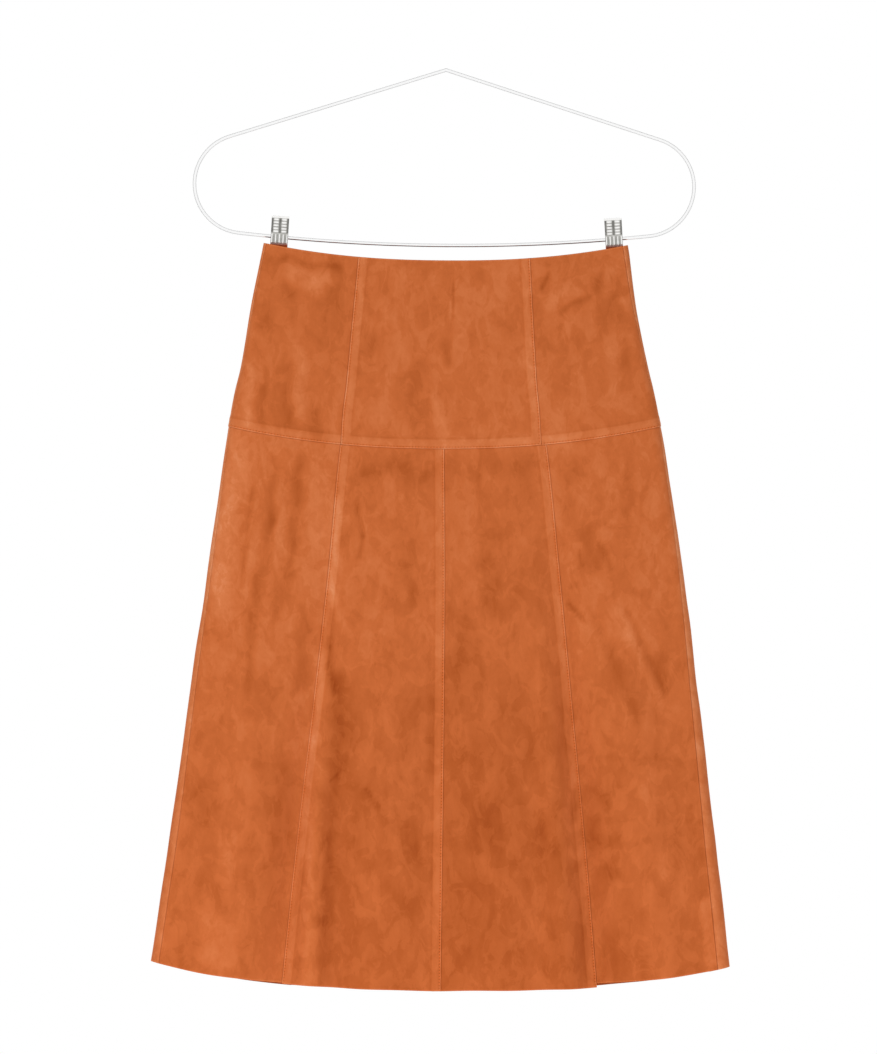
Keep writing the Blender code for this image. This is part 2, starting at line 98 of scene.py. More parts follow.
BACK_FOLDS = table(
    FOLD_COLUMNS,
    (-0.0949, -0.340, -0.1476, 0.012, 0.020, -0.0070),
    (0.0902, -0.340, 0.1356, 0.012, 0.020, -0.0070),
    (-0.0450, -0.450, -0.0620, 0.020, 0.034, 0.0040),
    (0.0500, -0.450, 0.0650, 0.020, 0.034, 0.0045),
    (-0.1550, -0.400, -0.2050, 0.018, 0.030, 0.0045),
    (0.1500, -0.380, 0.1950, 0.018, 0.030, 0.0040),
)
FOLD_HEM_Z = -0.822
FOLD_GROWTH = 1.6
BACK_WAIST_DIP = 0.002


def along(rows, column, step):
    """A column as a smooth curve through its rows: a cubic between each two of them."""
    knots, values = rows["step"], rows[column]
    slopes = np.gradient(values, knots)
    place = np.clip(np.searchsorted(knots, step, side="right") - 1, 0, len(knots) - 2)
    span = knots[place + 1] - knots[place]
    t = (np.asarray(step) - knots[place]) / span
    return (
        (2 * t**3 - 3 * t**2 + 1) * values[place]
        + (t**3 - 2 * t**2 + t) * span * slopes[place]
        + (3 * t**2 - 2 * t**3) * values[place + 1]
        + (t**3 - t**2) * span * slopes[place + 1]
    )


def smooth(t):
    """An even rise from 0 to 1 as t goes from 0 to 1: 3t^2 - 2t^3."""
    t = np.clip(t, 0.0, 1.0)
    return t * t * (3 - 2 * t)


def turn_run(step):
    """The length along the cloth of a quarter turn."""
    return along(DEPTH, "turn_radius", step) * math.pi / 2


def half_run(step):
    """The length along the front from one turn's outermost point to the other's."""
    width = along(OUTLINE, "right_x", step) - along(OUTLINE, "left_x", step)
    return width + 2 * (turn_run(step) - along(DEPTH, "turn_radius", step))


def run_at(x, step, side):
    """The run of a point x on the front or back, away from the turns."""
    from_turn = x - along(OUTLINE, "left_x", step) - along(DEPTH, "turn_radius", step)
    run = turn_run(step) + from_turn
    return run if side == "front" else -run


def fold_height(folds, x, z):
    """Deep folds summed: each is a bell across its line, growing from its top down to the hem."""
    total = np.zeros_like(x)
    for top_x, top_z, hem_x, top_width, hem_width, height in zip(*folds.values()):
        t = np.clip((top_z - z) / (top_z - FOLD_HEM_Z), 0.0, 1.0)
        middle = top_x + (hem_x - top_x) * t
        width = top_width + (hem_width - top_width) * t
        total += height * smooth(t * FOLD_GROWTH) * np.exp(-(((x - middle) / width) ** 2))
    return total


def ring_point(step, run):
    """The tube's x, y and z: two flat sides joined by round turns, with its folds."""
    radius = along(DEPTH, "turn_radius", step)
    left_x = along(OUTLINE, "left_x", step)
    right_x = along(OUTLINE, "right_x", step)
    half = half_run(step)
    turn = turn_run(step)
    run = (run + half) % (2 * half) - half
    from_left = np.abs(run)
    from_right = half - from_left
    nearest = np.minimum(from_left, from_right)
    angle = np.minimum(nearest, turn) / radius
    inward = radius * (1 - np.cos(angle)) + np.maximum(nearest - turn, 0.0)
    x = np.where(from_left < from_right, left_x + inward, right_x - inward)

    across = 2 * (x - left_x) / (right_x - left_x) - 1
    hang = 1 - np.abs(across) ** along(OUTLINE, "curve", step)
    left_z = along(OUTLINE, "left_z", step)
    right_z = along(OUTLINE, "right_z", step)
    z = left_z + (right_z - left_z) * (across + 1) / 2 - along(OUTLINE, "drop", step) * hang
    z = np.where(run < 0, z - BACK_WAIST_DIP * hang * smooth(1 - step), z)

    front_y = along(DEPTH, "front_y", step)
    back_y = along(DEPTH, "back_y", step)
    half_depth = (back_y - front_y) / 2
    swell = 1 - across**4
    front = half_depth + along(DEPTH, "front_belly", step) * swell + fold_height(FRONT_FOLDS, x, z)
    back = half_depth + along(DEPTH, "back_belly", step) * swell + fold_height(BACK_FOLDS, x, z)
    y = (front_y + back_y) / 2 + np.where(run < 0, back, -front) * np.sin(angle)
    return np.stack([x, y, z], axis=-1)


# ---- Creases and brushed marks ----
# Suede creases where it hangs and is handled, and its nap is pushed lighter or darker there. A
# crease's tone is also painted shade in its hollow and a painted highlight on its ridge. Each
# mark is a soft stroke from one place to another. Here lengths are in millimetres. A height above
# 0 is a ridge; a tone above 0 is lighter.

MARK_COLUMNS = "x0 z0 x1 z1 width height tone"
FRONT_MARKS = table(
    MARK_COLUMNS,
    # left of the yoke
    (-145, -168, -97, -178, 4.0, -0.4, -0.35),
    (-135, -181, -110, -190, 9.0, 0.4, 0.28),
    (-144, -194, -140, -202, 4.5, -0.5, -0.35),
    (-166, -233, -156, -214, 5.0, -0.2, -0.20),
    (-165, -284, -165, -318, 4.5, -0.4, -0.25),
    (-142, -268, -142, -318, 5.0, -0.4, -0.25),
    (-176, -268, -180, -318, 5.5, 0.3, 0.35),
    (-131, -252, -132, -311, 6.0, 0.4, 0.25),
    (-119, -306, -115, -327, 6.0, -0.3, -0.20),
    (-99, -201, -98, -226, 9.0, -0.3, -0.20),
    # middle of the yoke
    (-74, -205, -75, -224, 4.0, 0.2, 0.25),
    (-57, -208, -49, -225, 5.0, 0.3, 0.18),
    (-42, -180, -30, -181, 6.0, 0.2, 0.18),
    (6.3, -190, 5.4, -222, 1.3, -0.4, -0.35),
    (4.2, -205, 3.4, -224, 1.5, 0.3, 0.35),
    (5.0, -226, 3.0, -262, 2.0, -0.2, -0.12),
    (-66, -238, -67, -247, 7.0, -0.3, -0.28),
    (-27, -262, -27, -308, 10.0, -0.3, -0.22),
    (-9, -298, -3, -321, 7.0, 0.3, 0.22),
    (-2, -243, 3, -264, 4.0, -0.2, -0.25),
    (42, -221, 56, -232, 6.0, -0.2, -0.15),
    # right of the yoke
    (92, -182, 86, -194, 2.2, -0.5, -0.42),
    (129, -201, 104, -216, 2.8, -0.4, -0.35),
    (92, -206, 118, -198, 7.0, 0.35, 0.25),
    (139, -183, 138, -193, 6.0, -0.4, -0.32),
    (150, -208, 162, -232, 7.0, -0.3, -0.20),
    (163, -246, 160, -265, 5.0, -0.3, -0.30),
    (158, -206, 161, -209, 3.0, 0.3, 0.35),
    # left panel
    (-190, -345, -205, -480, 11.0, 0.0, 0.30),
    (-174, -377, -184, -463, 2.5, -0.3, -0.30),
    (-155, -345, -157, -403, 6.0, -0.5, -0.30),
    (-157, -403, -171, -471, 5.5, -0.5, -0.28),
    (-131, -350, -140, -450, 6.0, -0.6, -0.38),
    (-148, -374, -150, -426, 4.0, 0.4, 0.22),
    (-147, -457, -150, -490, 6.0, -0.3, -0.25),
    (-175, -490, -177, -555, 6.0, -0.4, -0.20),
    (-126, -490, -131, -555, 8.0, -0.3, -0.20),
    (-116, -337, -114, -425, 8.0, 0.2, 0.18),
    (-218, -646, -217, -675, 9.0, -0.2, -0.22),
    (-146, -634, -147, -686, 11.0, -0.3, -0.20),
    (-196, -686, -195, -720, 9.0, 0.2, 0.18),
    (-209, -763, -207, -797, 14.0, 0.2, 0.22),
    (-236, -777, -240, -803, 6.0, -0.2, -0.18),
    (-157, -711, -156, -737, 8.0, -0.2, -0.18),
    # panel left of the middle
    (-70, -357, -14, -362, 9.0, -0.2, -0.30),
    (-79.6, -390, -74.7, -416, 2.4, -0.5, -0.35),
    (-74.7, -416, -78, -436, 2.4, -0.5, -0.30),
    (-98, -391, -100, -475, 6.0, 0.2, 0.22),
    (-34, -410, -34, -442, 12.0, -0.3, -0.25),
    (-38, -452, -30, -470, 9.0, -0.3, -0.25),
    (-103, -487, -103, -506, 4.0, -0.2, -0.22),
    (-61, -504, -56, -505, 1.2, 0.2, 0.35),
    (-106, -511, -101, -556, 3.4, -0.8, -0.42),
    (-98, -548, -96, -618, 7.0, -0.4, -0.34),
    (-88, -560, -86, -640, 10.0, -0.1, -0.16),
    (-99, -628, -103, -690, 7.0, -0.4, -0.26),
    (-104, -690, -108, -760, 6.5, -0.4, -0.22),
    (-108, -760, -106, -815, 7.0, -0.4, -0.24),
    (-113, -528, -115, -600, 4.5, 0.4, 0.22),
    (-118, -600, -125, -815, 6.5, 0.6, 0.32),
    (-72, -644, -62, -661, 2.0, -0.4, -0.28),
    (-103, -637, -93, -627, 1.6, -0.3, -0.25),
    (-31, -677, -32, -703, 8.0, -0.2, -0.20),
    (-51, -733, -40, -751, 11.0, -0.2, -0.16),
    (-13.5, -565, -14, -634, 4.5, -0.2, -0.25),
    # panel right of the middle
    (8, -357, 76, -353, 10.0, -0.2, -0.19),
    (47.6, -415, 37, -441, 6.0, -0.3, -0.16),
    (37, -441, 42, -480, 7.0, -0.3, -0.16),
    (30, -365, 30, -378, 3.0, -0.2, -0.25),
    (66, -471, 82, -485, 8.0, -0.2, -0.15),
    (16, -486, 17, -555, 12.0, -0.2, -0.12),
    (36, -661, 37, -691, 12.0, -0.2, -0.10),
    (83, -684, 98, -698, 9.0, -0.3, -0.18),
    (115, -649, 116, -673, 3.0, -0.4, -0.35),
    (111, -617, 114, -705, 5.0, 0.3, 0.22),
    (84, -767, 83, -810, 7.0, 0.2, 0.16),
    (17, -733, 17, -758, 14.0, -0.2, -0.08),
    # right panel
    (113, -353, 113, -370, 8.0, -0.3, -0.30),
    (110, -386, 111, -410, 6.0, -0.3, -0.30),
    (128, -410, 130, -445, 8.0, -0.4, -0.27),
    (118.5, -431, 122, -445, 1.6, -0.4, -0.35),
    (137.6, -424, 148, -445, 3.0, -0.5, -0.28),
    (163, -370, 165, -400, 8.0, -0.3, -0.22),
    (141, -407, 149, -412, 2.0, -0.3, -0.22),
    (110, -479, 122, -491.5, 2.2, -0.6, -0.42),
    (134, -490, 171, -582, 4.0, -0.4, -0.22),
    (155, -487, 192, -560, 5.0, 0.5, 0.24),
    (163, -486, 196, -556, 3.0, -0.6, -0.22),
    (112, -462, 118, -462, 2.6, -0.3, -0.25),
    (168, -469, 173, -470, 3.0, -0.3, -0.25),
    (150, -538, 149, -552, 9.0, -0.2, -0.10),
    (194, -529, 195, -555, 6.0, -0.3, -0.22),
    (133, -645, 139, -650, 6.0, -0.3, -0.25),
    (134, -690, 151, -690, 9.0, -0.4, -0.28),
    (146, -718, 151, -724, 7.0, -0.4, -0.25),
    (150, -775, 150, -812, 12.0, -0.4, -0.24),
    (136, -617, 230, -619, 2.0, -0.3, -0.14),
    (136, -672, 228, -673, 2.0, -0.3, -0.12),
    (179, -626, 180, -670, 7.0, 0.2, 0.20),
    (186, -704, 197, -730, 13.0, 0.2, 0.20),
    (232, -749, 238, -800, 6.0, 0.2, 0.30),
    (237, -688, 241, -705, 3.5, -0.2, -0.30),
)
BACK_MARKS = table(
    MARK_COLUMNS,
    (146, -172, 104, -180, 4.5, -0.4, -0.32),
    (134, -186, 112, -192, 8.0, 0.4, 0.35),
    (-148, -170, -108, -182, 4.0, -0.4, -0.34),
    (-136, -190, -116, -186, 7.0, 0.3, 0.30),
    (-150, -262, -152, -316, 5.5, -0.5, -0.26),
    (-122, -250, -120, -300, 7.0, 0.3, 0.22),
    (156, -258, 160, -312, 5.0, -0.5, -0.26),
    (60, -230, 52, -280, 8.0, -0.3, -0.22),
    (-48, -220, -42, -262, 9.0, -0.3, -0.20),
    (-70, -350, -20, -352, 9.0, -0.2, -0.24),
    (20, -352, 74, -350, 9.0, -0.2, -0.24),
    (140, -350, 152, -440, 6.0, -0.6, -0.32),
    (172, -360, 190, -470, 8.0, 0.3, 0.30),
    (-160, -352, -172, -450, 6.0, -0.6, -0.32),
    (-186, -350, -200, -470, 9.0, 0.2, 0.30),
    (-60, -420, -54, -480, 8.0, -0.4, -0.22),
    (48, -430, 60, -500, 9.0, -0.4, -0.22),
    (-104, -500, -112, -600, 5.0, -1.0, -0.32),
    (-118, -620, -128, -815, 6.5, 0.6, 0.28),
    (102, -520, 112, -640, 5.0, -1.0, -0.32),
    (118, -600, 128, -815, 6.5, 0.6, 0.26),
    (-70, -640, -58, -662, 2.2, -0.5, -0.28),
    (40, -620, 44, -700, 11.0, -0.3, -0.18),
    (-36, -690, -30, -760, 12.0, -0.3, -0.18),
    (190, -600, 206, -690, 7.0, 0.3, 0.24),
    (160, -640, 158, -730, 10.0, -0.3, -0.22),
    (-190, -600, -200, -700, 9.0, -0.3, -0.22),
    (-226, -700, -240, -790, 8.0, 0.2, 0.24),
    (-150, -770, -156, -812, 10.0, -0.4, -0.26),
    (70, -760, 74, -812, 11.0, -0.3, -0.22),
    (30, -300, 34, -322, 7.0, 0.3, 0.22),
    (118, -206, 128, -222, 3.0, -0.6, -0.30),
)


def marks_at(rows, x, z):
    """Height and tone of all marks at x, z: each fades as a bell with distance from its stroke,
    which wanders as sums of sines of x and z do, a fine stroke less than a broad one."""
    x = x[..., None] * 1000
    z = z[..., None] * 1000
    wander = np.minimum(rows["width"] / 8, 1.0)
    sideways = 1.7 * np.sin(z / 6.1 + 1.9 * np.sin(x / 9.3)) + 0.7 * np.sin(z / 2.7 + x / 3.9)
    x = x + wander * sideways
    upwards = 3.6 * np.sin(x / 6.7 + 1.3 * np.sin(z / 17.0)) + 1.2 * np.sin(x / 2.3 - z / 5.0)
    z = z + wander * upwards
    span_x, span_z = rows["x1"] - rows["x0"], rows["z1"] - rows["z0"]
    share = (x - rows["x0"]) * span_x + (z - rows["z0"]) * span_z
    share = np.clip(share / (span_x**2 + span_z**2), 0.0, 1.0)
    away = np.hypot(x - rows["x0"] - share * span_x, z - rows["z0"] - share * span_z)
    bell = np.exp(-((away / rows["width"]) ** 2))
    return (bell * rows["height"]).sum(-1) / 1000, (bell * rows["tone"]).sum(-1)


def unevenness(x, z, seed):
    """The cloth's slight waviness: sine waves of chosen lengths, summed over random directions."""
    draw = np.random.default_rng(seed)
    lengths = np.linspace(0.028, 0.120, 14)
    angles = draw.uniform(-0.9, 0.9, 14)
    starts = draw.uniform(0, 2 * math.pi, 14)
    phase = (x[..., None] * np.cos(angles) + z[..., None] * np.sin(angles)) / lengths
    return (np.sin(2 * math.pi * phase + starts) * lengths).sum(-1) * 0.0016


# ---- Suede ----
# Goat or pig suede, about a millimetre thick: leather ground on its flesh side, so a short soft
# nap stands up from it. The nap catches light along edges, and streaks where it is stroked.


def hex_colour(code):
    """The linear colour of an sRGB hex value such as C4683A."""
    srgb = np.array([int(code[i : i + 2], 16) for i in (0, 2, 4)]) / 255
    linear = np.where(srgb <= 0.04045, srgb / 12.92, ((srgb + 0.055) / 1.055) ** 2.4)
    return (*linear.tolist(), 1.0)


def add_node(tree, kind, inputs={}, stops=(), **settings):
    """A node with its settings, a ramp's stops as (place, colour), and its inputs by name or
    number: each a value, or a (node, output) pair to link."""
    node = tree.nodes.new("ShaderNode" + kind)
    for name, value in settings.items():
        setattr(node, name, value)
    for name, value in inputs.items():
        if isinstance(value, tuple) and isinstance(value[0], bpy.types.Node):
            tree.links.new(value[0].outputs[value[1]], node.inputs[name])
        else:
            node.inputs[name].default_value = value
    for _ in stops[2:]:
        node.color_ramp.elements.new(1.0)
    for element, (place, colour) in zip(node.color_ramp.elements if stops else (), stops):
        element.position, element.color = place, colour
    return node


def new_material(name, settings):
    """A node material, its tree, and its Principled shader with the settings that are even."""
    made = bpy.data.materials.new(name)
    made.use_nodes = True
    shader = made.node_tree.nodes["Principled BSDF"]
    for socket, value in settings.items():
        shader.inputs[socket].default_value = value
    return made, made.node_tree, shader


STITCH_PITCH = 0.00275
STITCH_INSET = 0.0014

# Rough and matt, with a light sheen from the nap: the eye sees soft cloudy patches in one tan.
suede, tree, shader = new_material("goat suede", {
    "Roughness": 0.92,
    "Specular IOR Level": 0.18,
    "Sheen Weight": 0.35,
    "Sheen Roughness": 0.4,
    "Sheen Tint": hex_colour("F2B48C"),
})

# The nap's unevenness: each row is a size in metres along x, y and z, then the noise's detail,
# roughness, distortion and offset. The finest is the nap itself, drawn coarse enough to show.
place = add_node(tree, "TexCoord")
nap_patterns = {}
for name, size, detail, roughness, distortion, offset in (
    ("streaks", (0.012, 0.020, 0.027), 2.0, 0.50, 0.8, (0.0, 0.0, 0.0)),
    ("patches", (0.030, 0.030, 0.050), 3.0, 0.55, 1.0, (3.1, 0.7, 5.3)),
    ("blotches", (0.007, 0.007, 0.0085), 5.0, 0.65, 0.7, (7.7, 2.1, 1.9)),
    ("brushed", (0.015, 0.015, 0.022), 4.0, 0.60, 0.7, (1.3, 4.1, 2.7)),
    ("grain", (0.0016, 0.0016, 0.0022), 2.0, 0.60, 0.0, (0.0, 0.0, 0.0)),
    ("nap", (0.00035, 0.00035, 0.0008), 2.0, 0.60, 0.0, (0.0, 0.0, 0.0)),
):
    scaled = add_node(
        tree, "Mapping",
        {"Vector": (place, "Object"), "Scale": [1 / length for length in size], "Location": offset},
    )
    noise = add_node(
        tree, "TexNoise",
        {"Vector": (scaled, "Vector"), "Scale": 1.0, "Detail": detail, "Roughness": roughness,
         "Distortion": distortion},
    )
    nap_patterns[name] = (noise, "Fac")
brushed_edges = add_node(
    tree, "MapRange", {"Value": nap_patterns["brushed"], "From Min": 0.47, "From Max": 0.54},
    interpolation_type="SMOOTHSTEP",
)

# The piece's tone, made ragged by the blotches: its strokes, with the painted shade and
# highlights of its creases, edges and seams, and the painted shade inside.
strokes = add_node(tree, "Attribute", attribute_name="tone")
ragged = add_node(
    tree, "Math", {0: nap_patterns["blotches"], 1: 1.0, 2: 0.5}, operation="MULTIPLY_ADD"
)
ragged_strokes = add_node(
    tree, "Math", {0: (strokes, "Fac"), 1: (ragged, "Value")}, operation="MULTIPLY"
)

# Beside a topstitched seam: a painted highlight on the rolled edge, painted shade in the stitch
# line's furrow, a paler pressed band over the turned allowance, and painted shade at its faint far
# edge. The ramp spans 14 mm.
seam_place = add_node(tree, "UVMap", uv_map="seam")
seam_axes = add_node(tree, "SeparateXYZ", {"Vector": (seam_place, "UV")})
seam_fade = add_node(tree, "Math", {0: (seam_axes, "X"), 1: 1 / 0.014}, operation="MULTIPLY")
seam_light_and_shade = add_node(
    tree, "ValToRGB", {"Fac": (seam_fade, "Value")},
    [(place, (grey, grey, grey, 1.0)) for place, grey in (
        (0.0, 0.55), (0.055, 0.76), (0.080, 0.72), (0.100, 0.48), (0.120, 0.66),
        (0.30, 0.69), (0.55, 0.63), (0.63, 0.46), (0.80, 0.51),
    )],
)

# The needle's holes: dark dots of painted shade on the stitch line, one to each stitch.
hole_along = add_node(
    tree, "Math", {0: (seam_axes, "Y"), 1: STITCH_PITCH / 2}, operation="PINGPONG"
)
hole_across = add_node(tree, "Math", {0: (seam_axes, "X"), 1: STITCH_INSET}, operation="SUBTRACT")
hole_place = add_node(
    tree, "CombineXYZ", {"X": (hole_along, "Value"), "Y": (hole_across, "Value")}
)
hole_away = add_node(tree, "VectorMath", {0: (hole_place, "Vector")}, operation="LENGTH")
holes = add_node(
    tree, "MapRange",
    {"Value": (hole_away, "Value"), "From Min": 0.00025, "From Max": 0.00075,
     "To Min": 1.0, "To Max": 0.0},
)

# Tones that run from 0 to 1, among them the seams' painted light and shade, are summed round the
# middle of the colour ramp, then the strokes lighten or darken it, and the painted shade of the
# needle holes darkens it.
even_tones = [
    (nap_patterns["streaks"], 0.22), (nap_patterns["patches"], 0.36),
    (nap_patterns["blotches"], 0.25), ((brushed_edges, "Result"), 0.08),
    (nap_patterns["grain"], 0.08), ((seam_light_and_shade, "Color"), 0.90),
]
tone = 0.5 - 0.5 * sum(share for _, share in even_tones)
for source, share in (*even_tones, ((ragged_strokes, "Value"), 0.58), ((holes, "Result"), -0.34)):
    summed = add_node(tree, "Math", {0: source, 1: share, 2: tone}, operation="MULTIPLY_ADD")
    tone = (summed, "Value")
colour = add_node(
    tree, "ValToRGB", {"Fac": tone},
    [(0.0, hex_colour("923E12")), (0.25, hex_colour("AE5626")), (0.5, hex_colour("C46735")),
     (0.75, hex_colour("D27847")), (1.0, hex_colour("DF9266"))],
)
tree.links.new(colour.outputs["Color"], shader.inputs["Base Color"])
nap_half = add_node(
    tree, "Math", {0: nap_patterns["nap"], 1: 0.5, 2: 0.0}, operation="MULTIPLY_ADD"
)
nap_height = add_node(
    tree, "Math", {0: nap_patterns["grain"], 1: 0.8, 2: (nap_half, "Value")},
    operation="MULTIPLY_ADD",
)
nap_bump = add_node(
    tree, "Bump", {"Height": (nap_height, "Value"), "Strength": 0.35, "Distance": 0.0002}
)
tree.links.new(nap_bump.outputs["Normal"], shader.inputs["Normal"])


# ---- Cut pieces ----
# Seven pieces make the yoke and eight the flared part. At each seam both edges turn in, and on
# one side the turned allowance lies under the cloth, stitched down near the edge.

SEAM_COLUMNS = "step left centre right left_inset right_inset"
YOKE_SEAMS = table(
    SEAM_COLUMNS,
    (0.00, -0.0788, 0.0, 0.0756, 0.0020, 0.0045),
    (0.33, -0.0840, 0.0, 0.0783, 0.0015, 0.0030),
    (0.66, -0.0893, 0.0, 0.0815, 0.0012, 0.0015),
    (1.00, -0.0945, 0.0, 0.0855, 0.0010, 0.0010),
)
GORE_SEAMS = table(
    SEAM_COLUMNS,
    (1.00, -0.0949, -0.0015, 0.0902, 0.0010, 0.0010),
    (1.25, -0.1068, -0.0010, 0.1028, 0.0030, 0.0040),
    (1.50, -0.1205, -0.0018, 0.1143, 0.0048, 0.0070),
    (1.75, -0.1350, -0.0032, 0.1257, 0.0062, 0.0095),
    (2.00, -0.1476, -0.0047, 0.1356, 0.0072, 0.0108),
)
HEM_LIFT_START = 1.7
HEM_WAVER = 0.0002
SEAM_GAP = 0.0003
SIDE_SEAM_GAP = 0.0006
ZIP_MOUTH_STEPS = (0.0, 0.11, 0.19)
ZIP_MOUTH_HALF_WIDTHS = (0.0010, 0.0010, SEAM_GAP / 2)
# An edge rolls under by this depth over this reach. A pressed band stands up over a seam's
# allowance, this wide and falling away over a further reach, with the stitch line's furrow in it.
ROLL_REACH = 0.0005
ROLL_DEPTH = 0.00022
BAND_HEIGHT = 0.00042
BAND_WIDTH = 0.0068
BAND_FALL = 0.0040
FURROW_DEPTH = 0.00014
FURROW_WIDTH = 0.0004
NO_SEAM = 0.1
# A painted highlight along each rolled edge, painted light at each edge and in an allowance's fold
# that lifts the seam gap's shadow, and along the side seams painted shade at the front's seam line
# and a painted highlight on the back's turn.
EDGE_HIGHLIGHT = 0.30
EDGE_HIGHLIGHT_PLACE = 0.0007
EDGE_HIGHLIGHT_REACH = 0.0005
FOLD_LIGHTENING = 0.10
SIDE_SHADE_AND_HIGHLIGHT = {"front": -0.45, "back": 0.40}
SIDE_SHADE_AND_HIGHLIGHT_REACH = {"front": 0.0008, "back": 0.0080}
# Distances from an edge where the cloth's grid is fine, and its spacing away from them.
EDGE_PLACES = np.array(
    [0, 0.1, 0.25, 0.5, 0.8, 1.05, 1.3, 1.5, 1.8, 2.4, 3.4, 4.8, 6.2, 7.2, 8.0, 8.8, 9.6, 12]
) / 1000
COLUMN_SPACING = 0.0023
ROW_SPACING = 0.0031


def seam_run(seams, name, side, step):
    """The run of a named seam."""
    if name.endswith("side"):
        radius = along(DEPTH, "turn_radius", step)
        inset = along(seams, name.replace("side", "inset"), step)
        from_turn = radius * np.arccos(1 - inset / radius)
        return from_turn if name == "left_side" else half_run(step) - from_turn
    if name == "centre" and side == "back":
        return run_at(0.0, step, side)
    return run_at(along(seams, name, step), step, side)


def half_gap(name, side, step):
    """Half of what parts two pieces at a seam."""
    if name.endswith("side"):
        return SIDE_SEAM_GAP / 2
    if name == "centre" and side == "back":
        return np.interp(step, ZIP_MOUTH_STEPS, ZIP_MOUTH_HALF_WIDTHS)
    return SEAM_GAP / 2


# The inner faces' tone: painted shade, darker than the outer face.
INSIDE_SHADE = -0.3
# An allowance: the places of its grid past the edge, where its fold is still flat, and how deep
# it dives under the next piece.
ALLOWANCE_PLACES = np.array([-8.0, -5.0, -2.0, -0.7, -0.3, -0.21, -0.12]) / 1000
FOLD_FLAT = 0.00012
ALLOWANCE_WALL = 0.0004
TUCK_REACH = 0.0022
TUCK_EASE = 0.0014
# A seam holds creases and waves down to this share of their height, over this reach.
SEAM_HOLD = 0.35
SEAM_HOLD_REACH = 0.010
ALLOWANCE_DEPTH = {"first": 0.00095, "last": 0.00095, "top": 0.0014}


def graded(length, spacing, before, after):
    """Places over a length as (metres, share) pairs: fine at both ends, even in the middle."""
    middle = np.linspace(0, 1, round((length - 2 * EDGE_PLACES[-1]) / spacing) + 1)[1:-1]
    start = np.append(ALLOWANCE_PLACES, EDGE_PLACES) if before else EDGE_PLACES
    end = np.append(ALLOWANCE_PLACES, EDGE_PLACES) if after else EDGE_PLACES
    fixed = [start, np.full_like(middle, EDGE_PLACES[-1]), 2 * EDGE_PLACES[-1] - end[::-1]]
    share = [np.zeros_like(start), middle, np.ones_like(end)]
    return np.concatenate(fixed), np.concatenate(share)


